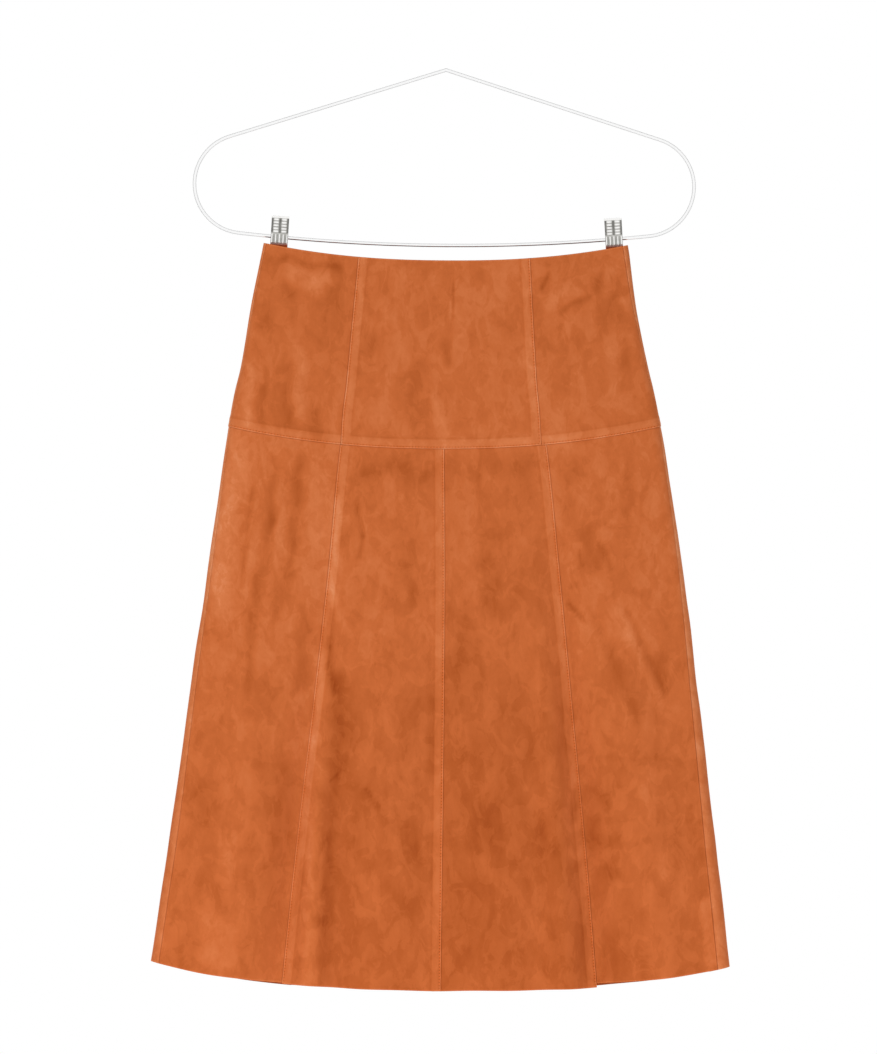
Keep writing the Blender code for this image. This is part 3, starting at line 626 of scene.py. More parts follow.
class Piece:
    """A cut piece of suede: its place on the tube, its topstitched edges, the edges whose
    allowance lies under the next piece, and the tone added at its top and its foot: each piece a
    little lighter or darker, and the gores darker towards the hem."""

    def __init__(
        self, name, first, last, stitched, under, flat, area, tones=(0.0, 0.0), lifts=(0.0, 0.0)
    ):
        self.name, self.first, self.last = name, first, last
        self.stitched, self.under = stitched.split(), under.split()
        self.flat, self.area, self.tones, self.lifts = flat, area, tones, lifts
        self.side = name.split("_")[0]
        self.seams = YOKE_SEAMS if "yoke" in name else GORE_SEAMS
        self.top, self.low = (0.0, 1.0) if "yoke" in name else (1.0, 2.0)
        self.steps = np.linspace(self.top - 0.06, self.low, 500)
        middle = self.base(self.steps, sum(self.edges(self.steps)) / 2)
        lengths = np.append(0.0, np.cumsum(np.linalg.norm(np.diff(middle, axis=0), axis=1)))
        self.lengths = lengths - np.interp(self.top, self.steps, lengths)

    def edges(self, step):
        """The runs of its first and last edges at a step."""
        first = seam_run(self.seams, self.first, self.side, step)
        last = seam_run(self.seams, self.last, self.side, step)
        last = np.where(last < first, last + 2 * half_run(step), last)
        return (
            first + half_gap(self.first, self.side, step),
            last - half_gap(self.last, self.side, step),
        )

    def base(self, step, run):
        """The tube's point, with the piece's own lift of its hem."""
        first, last = self.edges(step)
        point = ring_point(step, run)
        lift = self.lifts[0] + (self.lifts[1] - self.lifts[0]) * (run - first) / (last - first)
        lift += HEM_WAVER * (np.sin(run * 90) + np.sin(run * 37 + 2))
        point[..., 2] += lift * smooth((step - HEM_LIFT_START) / (2 - HEM_LIFT_START))
        return point

    def away(self, step, run):
        """How far a place is from each edge along the cloth: below 0 on its allowance."""
        first, last = self.edges(step)
        down = np.interp(step, self.steps, self.lengths) + 0 * run
        trim = SEAM_GAP / 2
        return {
            "first": run - first,
            "last": last - run,
            "top": down - (trim if self.top else 0.0),
            "bottom": self.lengths[-1] - down - (trim if self.low < 2 else 0.0),
        }

    def surface(self, step, run):
        """Outer points, inner points, normals and tones: the tube moved out by creases and
        waves, the outer face also by the edges' rolls and the pressed bands."""
        point = self.base(step, run)
        down = self.base(step + 1e-4, run) - self.base(step - 1e-4, run)
        round_ring = self.base(step, run + 1e-5) - self.base(step, run - 1e-5)
        normal = np.cross(down, round_ring)
        normal /= np.linalg.norm(normal, axis=-1, keepdims=True)

        away = self.away(step, run)
        nearest = np.minimum.reduce(list(away.values()))
        inside = np.clip(1 - nearest / ROLL_REACH, 0.0, 1.0)
        roll = -ROLL_DEPTH * (1 - np.sqrt(1 - inside**2))
        under = np.full_like(nearest, -SUEDE_WALL)
        for edge in self.under:
            depth = ALLOWANCE_DEPTH[edge]
            past_fold = smooth((-away[edge] - FOLD_FLAT) / (SEAM_GAP - FOLD_FLAT))
            dive = -ROLL_DEPTH - (depth - ROLL_DEPTH) * past_fold
            roll = np.where(away[edge] < -1e-6, np.minimum(roll, dive), roll)
            tuck = smooth((TUCK_REACH - away[edge]) / TUCK_EASE)
            under = np.minimum(under, -SUEDE_WALL + tuck * (SUEDE_WALL - depth - ALLOWANCE_WALL))
        band = np.zeros_like(nearest)
        for edge in self.stitched:
            reach = away[edge]
            ripple = 1 + 0.22 * np.sin(step * 260 + run * 210)
            raised = BAND_HEIGHT * smooth((BAND_WIDTH + BAND_FALL - reach) / BAND_FALL)
            furrow = FURROW_DEPTH * np.exp(-(((reach - STITCH_INSET) / FURROW_WIDTH) ** 2))
            band = np.maximum(band, raised * ripple - furrow)
        marks, seed = (FRONT_MARKS, 5) if self.side == "front" else (BACK_MARKS, 11)
        # The marks' tones: the nap's strokes, with painted shade in the creases and painted
        # highlights on their ridges.
        crease, stroke = marks_at(marks, point[..., 0], point[..., 2])
        waviness = unevenness(point[..., 0], point[..., 2], seed)
        free = SEAM_HOLD + (1 - SEAM_HOLD) * smooth(nearest / SEAM_HOLD_REACH)
        cloth = (crease + waviness) * free
        # A painted highlight along each edge that is not tucked under, and painted light at the
        # edges and folds that lifts the seam gaps' shadow.
        highlight_away = np.minimum.reduce([away[edge] for edge in away if edge not in self.under])
        tone = stroke + EDGE_HIGHLIGHT * np.exp(-(((highlight_away - EDGE_HIGHLIGHT_PLACE) / EDGE_HIGHLIGHT_REACH) ** 2))
        tone += FOLD_LIGHTENING * smooth((0.0005 - nearest) / 0.0004)
        # Along the side seams: painted shade at the front's seam line, a painted highlight on the
        # back's turn.
        for edge, seam in (("first", self.first), ("last", self.last)):
            if seam.endswith("side"):
                reach = away[edge] / SIDE_SHADE_AND_HIGHLIGHT_REACH[self.side]
                tone += SIDE_SHADE_AND_HIGHLIGHT[self.side] * np.exp(-(reach**2))
        top_tone, foot_tone = self.tones
        tone += top_tone + (foot_tone - top_tone) * smooth((step - self.top - 0.15) / 0.6)
        outer = point + normal * (cloth + roll + band * (nearest >= 0))[..., None]
        return outer, point + normal * (cloth + under)[..., None], normal, tone

    def seam_length(self, edge, step, run):
        """The length along a stitched edge to a place: down it, or round the ring at the foot."""
        if edge == "bottom":
            return run * np.ones_like(step)
        steps = np.linspace(self.top, self.low, 200)
        line = self.base(steps, self.edges(steps)[0 if edge == "first" else 1])
        lengths = np.append(0.0, np.cumsum(np.linalg.norm(np.diff(line, axis=0), axis=1)))
        return np.interp(step, steps, lengths)


def grid_faces(rows, columns, close_columns=False):
    """Quads of a grid of points numbered row by row."""
    wrap = columns if close_columns else columns - 1
    row, column = np.meshgrid(np.arange(rows - 1), np.arange(wrap), indexing="ij")
    here, right = row * columns + column, row * columns + (column + 1) % columns
    return np.stack([here, right, right + columns, here + columns], axis=-1).reshape(-1, 4)


def shell_faces(rows, columns):
    """Quads of a thin shell: an outer grid, an inner grid behind it, and the rim between them."""
    outer = grid_faces(rows, columns)[:, ::-1]
    behind = rows * columns
    ring = np.concatenate([
        np.arange(columns - 1),
        np.arange(rows - 1) * columns + columns - 1,
        rows * columns - 1 - np.arange(columns - 1),
        (rows - 1 - np.arange(rows - 1)) * columns,
    ])
    following = np.roll(ring, -1)
    rim = np.stack([ring, following, following + behind, ring + behind], axis=-1)
    return np.concatenate([outer, outer[:, ::-1] + behind, rim])


def add_piece(name, points, faces, material, body="garment", smooth_faces=True):
    """A mesh piece from points and faces that point outwards, riding on a body."""
    mesh = bpy.data.meshes.new(name)
    corners = np.asarray(points, float).reshape(-1, 3).tolist()
    mesh.from_pydata(corners, [], [list(face) for face in faces])
    mesh.materials.append(material)
    mesh.polygons.foreach_set("use_smooth", np.full(len(mesh.polygons), smooth_faces))
    mesh.update()
    made = bpy.data.objects.new(name, mesh)
    bpy.context.scene.collection.objects.link(made)
    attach(made, body)
    return made


PIECES = (
    Piece("front_yoke_left", "left_side", "left", "bottom", "last", (0.103, 0.183), 0.0159,
          (-0.05, -0.05)),
    Piece("front_yoke_centre", "left", "right", "first last bottom", "", (0.180, 0.173), 0.0283),
    Piece("front_yoke_right", "right", "right_side", "bottom", "first", (0.109, 0.181), 0.0161),
    Piece("back_yoke_left", "left", "left_side", "bottom", "first last", (0.113, 0.183), 0.0175),
    Piece("back_yoke_centre_left", "centre", "left", "last bottom", "", (0.094, 0.171), 0.0145,
          (0.03, -0.02)),
    Piece("back_yoke_centre_right", "right", "centre", "first bottom", "", (0.085, 0.170), 0.0134,
          (-0.02, 0.02)),
    Piece("back_yoke_right", "right_side", "right", "bottom", "first last", (0.119, 0.181), 0.0181,
          (-0.04, -0.04)),
    Piece("front_gore_left", "left_side", "left", "", "top last", (0.113, 0.503), 0.0526,
          (0.10, -0.16), (0.0, 0.0012)),
    Piece("front_gore_centre_left", "left", "centre", "first last", "top", (0.149, 0.490), 0.0588,
          (0.0, -0.26), (0.0002, -0.0010)),
    Piece("front_gore_centre_right", "centre", "right", "last", "top first", (0.144, 0.490), 0.0577,
          (-0.06, -0.36), (-0.0010, 0.0)),
    Piece("front_gore_right", "right", "right_side", "", "top first", (0.111, 0.505), 0.0531,
          (0.02, -0.20), (0.0036, 0.0)),
    Piece("back_gore_left", "left", "left_side", "", "top first last", (0.146, 0.505), 0.0638,
          (0.12, -0.15), (-0.0016, 0.0)),
    Piece("back_gore_centre_left", "centre", "left", "first last", "top", (0.149, 0.490), 0.0590,
          (0.0, -0.28), (0.0, -0.0016)),
    Piece("back_gore_centre_right", "right", "centre", "first", "top last", (0.137, 0.490), 0.0559,
          (0.04, -0.22)),
    Piece("back_gore_right", "right_side", "right", "", "top first last", (0.151, 0.507), 0.0668,
          (0.16, -0.12)),
)

for piece in PIECES:
    length = float(piece.lengths[-1])
    fixed, share = graded(length, ROW_SPACING, "top" in piece.under, False)
    places = fixed + share * (length - 2 * EDGE_PLACES[-1])
    trims = SEAM_GAP / 2 * np.array([piece.top > 0, piece.low < 2])
    places = np.where(places < length / 2, places + trims[0], places - trims[1])
    step = np.interp(places, piece.lengths, piece.steps)[:, None]
    first, last = piece.edges(step)
    width = float((last - first).mean())
    fixed, share = graded(width, COLUMN_SPACING, "first" in piece.under, "last" in piece.under)
    run = first + fixed + share * (last - first - 2 * EDGE_PLACES[-1])
    outer, inner, normal, tone_values = piece.surface(step, run)
    rows, columns = run.shape
    made = add_piece(piece.name + "_suede", [outer, inner], shell_faces(rows, columns), suede)
    mesh = made.data
    tones = mesh.attributes.new("tone", "FLOAT", "POINT")
    inner_shade = np.full(tone_values.size, INSIDE_SHADE)
    tones.data.foreach_set("value", np.concatenate([tone_values.ravel(), inner_shade]))
    away = piece.away(step, run)
    place = np.full((rows, columns), NO_SEAM)
    seam_v = np.zeros((rows, columns))
    for edge in piece.stitched:
        closer = away[edge] < place
        seam_v = np.where(closer, piece.seam_length(edge, step + 0 * run, run), seam_v)
        place = np.where(closer, away[edge], place)
    both = np.stack([np.concatenate([place.ravel(), place.ravel() * 0 + NO_SEAM]),
                     np.concatenate([seam_v.ravel(), seam_v.ravel()])], axis=-1)
    corners = np.zeros(len(mesh.loops), np.int32)
    mesh.loops.foreach_get("vertex_index", corners)
    seam_map = mesh.uv_layers.new(name="seam")
    seam_map.data.foreach_set("uv", both[corners].ravel())
    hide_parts(piece.name)


# ---- Topstitching ----
# Polyester thread dyed to the suede, in one row of lockstitch beside each seam. It holds the
# turned allowance down, and each stitch sinks into the nap between its two holes.

# Twisted and soft: a little brighter and redder than the suede, with no shine of its own.
thread, tree, shader = new_material("dyed polyester thread", {
    "Base Color": hex_colour("DC6C2B"),
    "Roughness": 0.7,
    "Specular IOR Level": 0.05,
})

THREAD_RADIUS = 0.00022
STITCH_FILL = 0.80
STITCH_SIDES = 6


def stitch_row(piece, edge):
    """Stitches on one edge: each an arched spindle from hole to hole, lying in the furrow."""
    if edge == "bottom":
        start, end = (float(value) for value in piece.edges(piece.low))
        dense_run = np.linspace(start + 0.0005, end - 0.0005, 600)
        lowest = piece.lengths[-1] - STITCH_INSET
        dense_step = np.full_like(dense_run, np.interp(lowest, piece.lengths, piece.steps))
        lengths = dense_run
    else:
        dense_step = np.linspace(piece.top, piece.low, 900)
        first, last = piece.edges(dense_step)
        dense_run = first + STITCH_INSET if edge == "first" else last - STITCH_INSET
        lengths = piece.seam_length(edge, dense_step, dense_run)
    centres = np.arange(
        math.ceil(lengths[0] / STITCH_PITCH) + 0.5, math.floor(lengths[-1] / STITCH_PITCH) - 0.5
    ) * STITCH_PITCH
    points, _, normals, _ = piece.surface(dense_step, dense_run)
    reach = np.linspace(-0.5, 0.5, 5) * STITCH_PITCH * STITCH_FILL
    places = centres[:, None] + reach
    line = np.stack([np.interp(places, lengths, points[:, i]) for i in range(3)], axis=-1)
    lift = np.stack([np.interp(places, lengths, normals[:, i]) for i in range(3)], axis=-1)
    ahead = line[:, -1:] - line[:, :1]
    ahead = ahead / np.linalg.norm(ahead, axis=-1, keepdims=True)
    across = np.cross(ahead, lift)
    across /= np.linalg.norm(across, axis=-1, keepdims=True)
    girth = THREAD_RADIUS * np.array([0.35, 0.9, 1.0, 0.9, 0.35])
    arch = THREAD_RADIUS * np.array([-0.7, 0.5, 0.9, 0.5, -0.7])
    angle = np.arange(STITCH_SIDES) * 2 * math.pi / STITCH_SIDES
    ring = (
        across[:, :, None] * np.cos(angle)[:, None] + lift[:, :, None] * np.sin(angle)[:, None]
    )
    return line[:, :, None] + lift[:, :, None] * arch[:, None, None] + ring * girth[:, None, None]


def spindle_faces(rings, sides):
    """Quads round a spindle's rings, with a face to close each end."""
    body = grid_faces(rings, sides, close_columns=True)
    ends = [np.arange(sides)[::-1], np.arange(sides) + (rings - 1) * sides]
    return body, ends


for piece in PIECES:
    for edge in piece.stitched:
        stitches = stitch_row(piece, edge)
        count, rings, sides = stitches.shape[:3]
        body_faces, end_faces = spindle_faces(rings, sides)
        starts = np.arange(count)[:, None, None] * rings * sides
        faces = (body_faces + starts).reshape(-1, 4).tolist()
        faces += (np.array(end_faces) + starts).reshape(-1, sides).tolist()
        made = add_piece(f"{piece.name}_{edge}_stitches", stitches, faces, thread)


# ---- Zip ----
# A closed zip in the centre back seam: two woven tapes sewn behind the suede, a chain of
# interlocked teeth, and a lacquered slider whose pull hangs outside from its eye.

ZIP_START_STEP = 0.02
ZIP_END_STEP = 1.06
TAPE_DEPTH = 0.0015
TAPE_WIDTH = 0.0110
TAPE_EDGE = 0.0009
TAPE_WALL = 0.0006
TOOTH_PITCH = 0.0015

# A fine slanting weave of darker and paler yarn, dull beside the metal.
zip_tape, tree, shader = new_material("woven polyester zip tape", {
    "Roughness": 0.85,
    "Sheen Weight": 0.2,
})
place = add_node(tree, "TexCoord")
weave = add_node(
    tree, "TexWave", {"Vector": (place, "Object"), "Scale": 900.0, "Distortion": 1.5},
    wave_type="BANDS", bands_direction="DIAGONAL",
)
tape_colour = add_node(
    tree, "ValToRGB", {"Fac": (weave, "Fac")},
    [(0.0, hex_colour("8C4523")), (1.0, hex_colour("B2623A"))],
)
tree.links.new(tape_colour.outputs["Color"], shader.inputs["Base Color"])
weave_bump = add_node(
    tree, "Bump", {"Height": (weave, "Fac"), "Strength": 0.4, "Distance": 0.0001}
)
tree.links.new(weave_bump.outputs["Normal"], shader.inputs["Normal"])

# Cast zinc under a tinted lacquer: brown, with a soft gloss and faintly pitted.
lacquer, tree, shader = new_material("lacquered zinc casting", {
    "Base Color": hex_colour("7E4426"),
    "Metallic": 0.7,
    "Roughness": 0.38,
    "Coat Weight": 0.6,
    "Coat Roughness": 0.18,
})
place = add_node(tree, "TexCoord")
scaled = add_node(tree, "Mapping", {"Vector": (place, "Object"), "Scale": [1 / 0.0009] * 3})
pitting = add_node(tree, "TexNoise", {"Vector": (scaled, "Vector"), "Scale": 1.0, "Detail": 2.0})
pit_bump = add_node(
    tree, "Bump", {"Height": (pitting, "Fac"), "Strength": 0.12, "Distance": 0.0001}
)
tree.links.new(pit_bump.outputs["Normal"], shader.inputs["Normal"])


def inside_back(x, step, depth):
    """Points behind the back's outer face, a depth in from it."""
    point = ring_point(step, run_at(x, step, "back"))
    point[..., 1] -= depth
    return point


def centre_back(step):
    """The outer face's point on the centre back line."""
    return ring_point(step, run_at(0.0, step, "back"))


for name, near, far in (
    ("zip_tape_left", -TAPE_EDGE, -TAPE_WIDTH), ("zip_tape_right", TAPE_WIDTH, TAPE_EDGE)
):
    step = np.linspace(ZIP_START_STEP, ZIP_END_STEP, 60)[:, None]
    x = np.linspace(near, far, 8)[None, :]
    outer = inside_back(x, step, TAPE_DEPTH)
    inner = inside_back(x, step, TAPE_DEPTH + TAPE_WALL)
    made = add_piece(name + "_woven", [outer, inner], shell_faces(60, 8), zip_tape)
    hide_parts(name)


def box_faces():
    """The six faces of a box whose eight corners run round its back, then round its front."""
    return np.array(
        [[0, 1, 2, 3], [7, 6, 5, 4], [0, 4, 5, 1], [1, 5, 6, 2], [2, 6, 7, 3], [3, 7, 4, 0]]
    )


slider_low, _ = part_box("zip_slider")
chain_low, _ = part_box("zip_chain")
steps = np.linspace(0.0, 1.2, 400)
heights = centre_back(steps)[:, 2]
tooth_z = np.arange(slider_low.z - 0.0012, chain_low.z + 0.0006, -TOOTH_PITCH / 2)
tooth_step = np.interp(-tooth_z, -heights, steps)
tooth_y = centre_back(tooth_step)[:, 1] - TAPE_DEPTH - TAPE_WALL - SEAM_GAP
hand = np.where(np.arange(len(tooth_z)) % 2, 1.0, -1.0)
corner_x = np.array([-0.15, 1.0, 1.0, -0.15, -0.05, 0.9, 0.9, -0.05])
corner_z = np.array([-1, -1, 1, 1, -0.6, -0.6, 0.6, 0.6]) * TOOTH_PITCH * 0.22
corner_y = np.array([0, 0, 0, 0, -1, -1, -1, -1]) * 0.0013
teeth = np.stack([
    hand[:, None] * corner_x * 0.0018,
    tooth_y[:, None] + corner_y,
    tooth_z[:, None] + corner_z,
], axis=-1)
tooth_faces = box_faces() + np.arange(len(teeth))[:, None, None] * 8
tooth_faces[hand < 0] = tooth_faces[hand < 0][:, :, ::-1]
made = add_piece(
    "zip_teeth", teeth, tooth_faces.reshape(-1, 4)[:, ::-1].tolist(), lacquer, smooth_faces=False
)
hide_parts("zip_chain")
for name in ("zip_slider", "zip_pull"):
    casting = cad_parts[name]
    casting.data.materials.clear()
    casting.data.materials.append(lacquer)


# ---- Hanger ----
# One loop of steel wire, bent to two sloping arms and round ends, its two ends butted and welded
# at the peak, then chromed. The bar bows down under the skirt's weight.

WIRE_RADIUS = 0.0018
END_RADIUS = 0.0445
LEFT_ARM = {"slope": 0.3066, "reach": -0.2264}
RIGHT_ARM = {"slope": 0.3270, "reach": 0.2232}
BAR_LOWEST_Z = -0.1562
BAR_END_TILT = math.radians(6.5)

# A bright mirror: white where it faces the light, with thin dark edges, and faintly drawn along.
chromed_wire, tree, shader = new_material("chromed steel wire", {
    "Base Color": hex_colour("F8F8F8"),
    "Metallic": 1.0,
    "Roughness": 0.10,
})
place = add_node(tree, "TexCoord")
scaled = add_node(
    tree, "Mapping", {"Vector": (place, "Object"), "Scale": (1 / 0.004, 1 / 0.0004, 1 / 0.0004)}
)
drawn = add_node(tree, "TexNoise", {"Vector": (scaled, "Vector"), "Scale": 1.0, "Detail": 2.0})
drawn_bump = add_node(
    tree, "Bump", {"Height": (drawn, "Fac"), "Strength": 0.05, "Distance": 0.0001}
)
tree.links.new(drawn_bump.outputs["Normal"], shader.inputs["Normal"])


def end_centre(arm):
    """The middle of the round end that touches the arm and reaches as far as the hanger does."""
    side = math.copysign(1.0, arm["reach"])
    x = arm["reach"] - side * END_RADIUS
    tilt = math.atan(arm["slope"])
    return side, x, WIRE_RADIUS - arm["slope"] * abs(x) - END_RADIUS / math.cos(tilt), tilt


def bar_height():
    """The bar's bow: a parabola through both its ends and its lowest point."""
    places = [(0.0, BAR_LOWEST_Z)]
    for arm in (LEFT_ARM, RIGHT_ARM):
        side, x, z, _ = end_centre(arm)
        foot_x = x + side * END_RADIUS * math.sin(BAR_END_TILT)
        places.append((foot_x, z - END_RADIUS * math.cos(BAR_END_TILT)))
    places = np.array(places)
    return np.poly1d(np.polyfit(places[:, 0], places[:, 1], 2)), places[1, 0], places[2, 0]


def half_of_loop(arm):
    """An arm and its round end, from the peak to the bar, as x and z."""
    side, centre_x, centre_z, tilt = end_centre(arm)
    angles = np.linspace(math.pi / 2 - tilt, BAR_END_TILT - math.pi / 2, 48)
    round_end = np.stack([centre_x + side * END_RADIUS * np.cos(angles),
                          centre_z + END_RADIUS * np.sin(angles)], axis=-1)
    peak = np.array([0.0, WIRE_RADIUS])
    share = np.append(np.linspace(0.0, 0.03, 6), np.linspace(0.06, 1.0, 16))[:-1, None]
    return np.concatenate([peak + share * (round_end[0] - peak), round_end])


def swept(path, radius, sides, across, closed=False):
    """Rings of a round tube along a path; across is a direction never along the path."""
    if closed:
        ahead = np.roll(path, -1, axis=0) - np.roll(path, 1, axis=0)
    else:
        ahead = np.gradient(path, axis=0)
    ahead /= np.linalg.norm(ahead, axis=1, keepdims=True)
    out = np.cross(ahead, np.broadcast_to(across, path.shape))
    out /= np.linalg.norm(out, axis=1, keepdims=True)
    other = np.cross(out, ahead)
    angle = np.arange(sides) * 2 * math.pi / sides
    ring = out[:, None] * np.cos(angle)[:, None] + other[:, None] * np.sin(angle)[:, None]
    return path[:, None] + ring * np.broadcast_to(radius, len(path))[:, None, None]


bar_z, bar_left, bar_right = bar_height()
bar_x = np.linspace(bar_left, bar_right, 60)[1:-1]
loop = np.concatenate([
    half_of_loop(LEFT_ARM),
    np.stack([bar_x, bar_z(bar_x)], axis=-1),
    half_of_loop(RIGHT_ARM)[:0:-1],
])
path = np.stack([loop[:, 0], np.zeros(len(loop)), loop[:, 1]], axis=-1)
rings = swept(path, WIRE_RADIUS, 20, (0.0, 1.0, 0.0), closed=True)
rows = len(rings)
wire_faces = grid_faces(rows + 1, 20, close_columns=True) % (rows * 20)
made = add_piece("hanger_wire_loop", rings, wire_faces[:, ::-1].tolist(), chromed_wire)
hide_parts("hanger_wire")


# ---- Clips ----
# Each clip is two plates pressed from nickelled steel sheet, pivoting on the bar through their
# ears, and pushed shut by a coil spring. The back waist is held between the jaws.

CLIP_X = {"left_clip": -0.1499, "right_clip": 0.1510}
CLIP_SHEET = 0.0009
EAR_HOLE_RADIUS = 0.0021
JAW_REFLECTION_TOP = -0.0042
JAW_REFLECTION_FADE = 0.0034
CLIP_LEAN = 0.7
CLIP_PROFILE = table(
    "out up",
    (0.0084, 0.0192),
    (0.0060, 0.0060),
    (0.0056, -0.0055),
    (0.00145, -0.0120),
    (0.00145, -0.0205),
    (0.0030, -0.0225),
)
EAR_SHIFT = 0.0006
CLIP_PLATES = {
    "front_plate": {"side": -1, "half_width": 0.0078, "ear_radius": 0.0052, "dust": 1.0},
    "back_plate": {"side": 1, "half_width": 0.0066, "ear_radius": 0.0049, "dust": 0.0},
}
SPRING_RADIUS = 0.0037
SPRING_WIRE_RADIUS = 0.00065
SPRING_TURNS = 4
SPRING_PITCH = 0.0022
SPRING_LEG = 0.0110

# Satin plate: bright on the pads and ribs, with painted shade in the recesses between them.
# The front jaws are painted a matt suede brown with no gloss of their own: a painted reflection
# of the suede they hold.
nickel, tree, shader = new_material("nickelled steel sheet", {
    "Roughness": 0.24,
    "Specular IOR Level": 0.0,
})
place = add_node(tree, "TexCoord")
scaled = add_node(tree, "Mapping", {"Vector": (place, "Object"), "Scale": [1 / 0.003] * 3})
tarnish = add_node(tree, "TexNoise", {"Vector": (scaled, "Vector"), "Scale": 1.0, "Detail": 3.0})
# Painted shade in the recesses over a faint tarnish, and the front jaws' painted reflection of the
# suede.
recess = add_node(tree, "Attribute", attribute_name="recess")
dust = add_node(tree, "Attribute", attribute_name="dust")
sunk = add_node(tree, "Math", {0: (recess, "Fac"), 1: 1.0, 2: -0.20}, operation="MULTIPLY_ADD")
tarnish_and_shade = add_node(
    tree, "Math", {0: (tarnish, "Fac"), 1: 0.35, 2: (sunk, "Value")}, operation="MULTIPLY_ADD"
)
nickel_colour = add_node(
    tree, "ValToRGB", {"Fac": (tarnish_and_shade, "Value")},
    [(0.0, hex_colour("F8F7F5")), (0.45, hex_colour("B9B8B3")), (1.0, hex_colour("4C4A47"))],
)
jaw_reflection_colour = add_node(
    tree, "Mix", {"Factor": (dust, "Fac"), 6: (nickel_colour, "Color"), 7: hex_colour("A84A22")},
    data_type="RGBA",
)
metallic_share = add_node(tree, "Math", {0: 1.0, 1: (dust, "Fac")}, operation="SUBTRACT")
tree.links.new(jaw_reflection_colour.outputs[2], shader.inputs["Base Color"])
tree.links.new(metallic_share.outputs["Value"], shader.inputs["Metallic"])


def placed_on_bar(points, x):
    """Points of a clip's own frame moved to x on the bar, leaning a little with the bar."""
    slope = CLIP_LEAN * math.atan(float(bar_z.deriv()(x)))
    along_bar, up = points[..., 0], points[..., 2]
    return np.stack([
        x + along_bar * math.cos(slope) - up * math.sin(slope),
        points[..., 1],
        float(bar_z(x)) + along_bar * math.sin(slope) + up * math.cos(slope),
    ], axis=-1)


def clip_relief(across, up):
    """Pressed relief: two columns of pads on the lever, ribs below. Height, and the painted shade
    of the recesses between them.
    """
    column = np.where(across < 0, (across + 0.0036) / 0.0028, (across - 0.0036) / 0.0028)
    row = (up - 0.0036) / 0.0027
    in_row = (row % 1) * 2 - 1
    pad = np.clip(1 - np.abs(column) ** 4, 0, 1) * np.clip(1 - np.abs(in_row) ** 3, 0, 1)
    pad = pad * (up > 0.0036) * (up < 0.0171)
    rib = np.clip(np.cos(across / 0.0034 * 2 * math.pi), -0.4, 1.0) * (up < 0.0030)
    rib = rib * smooth((0.0030 - up) / 0.0012) * smooth((up + 0.0125) / 0.0020)
    ribbed = smooth((up + 0.0070) / 0.0030)
    dark = np.where(up > 0.0036, 0.85 * (1 - pad) * (up < 0.0171), 0.45 * (1 - rib) * ribbed)
    return 0.0006 * pad + 0.0006 * rib, dark


def washer(middle_x, centre_y, outer, inner, wall):
    """A flat ring round the bar: a rectangle turned about an axis along X."""
    angle = np.arange(40)[:, None] * 2 * math.pi / 40
    radius = np.array([inner, outer, outer, inner])
    x = middle_x + np.array([-1, -1, 1, 1]) * wall / 2
    return np.stack([
        x + 0 * angle,
        centre_y * (radius == outer) + radius * np.cos(angle),
        radius * np.sin(angle),
    ], axis=-1)


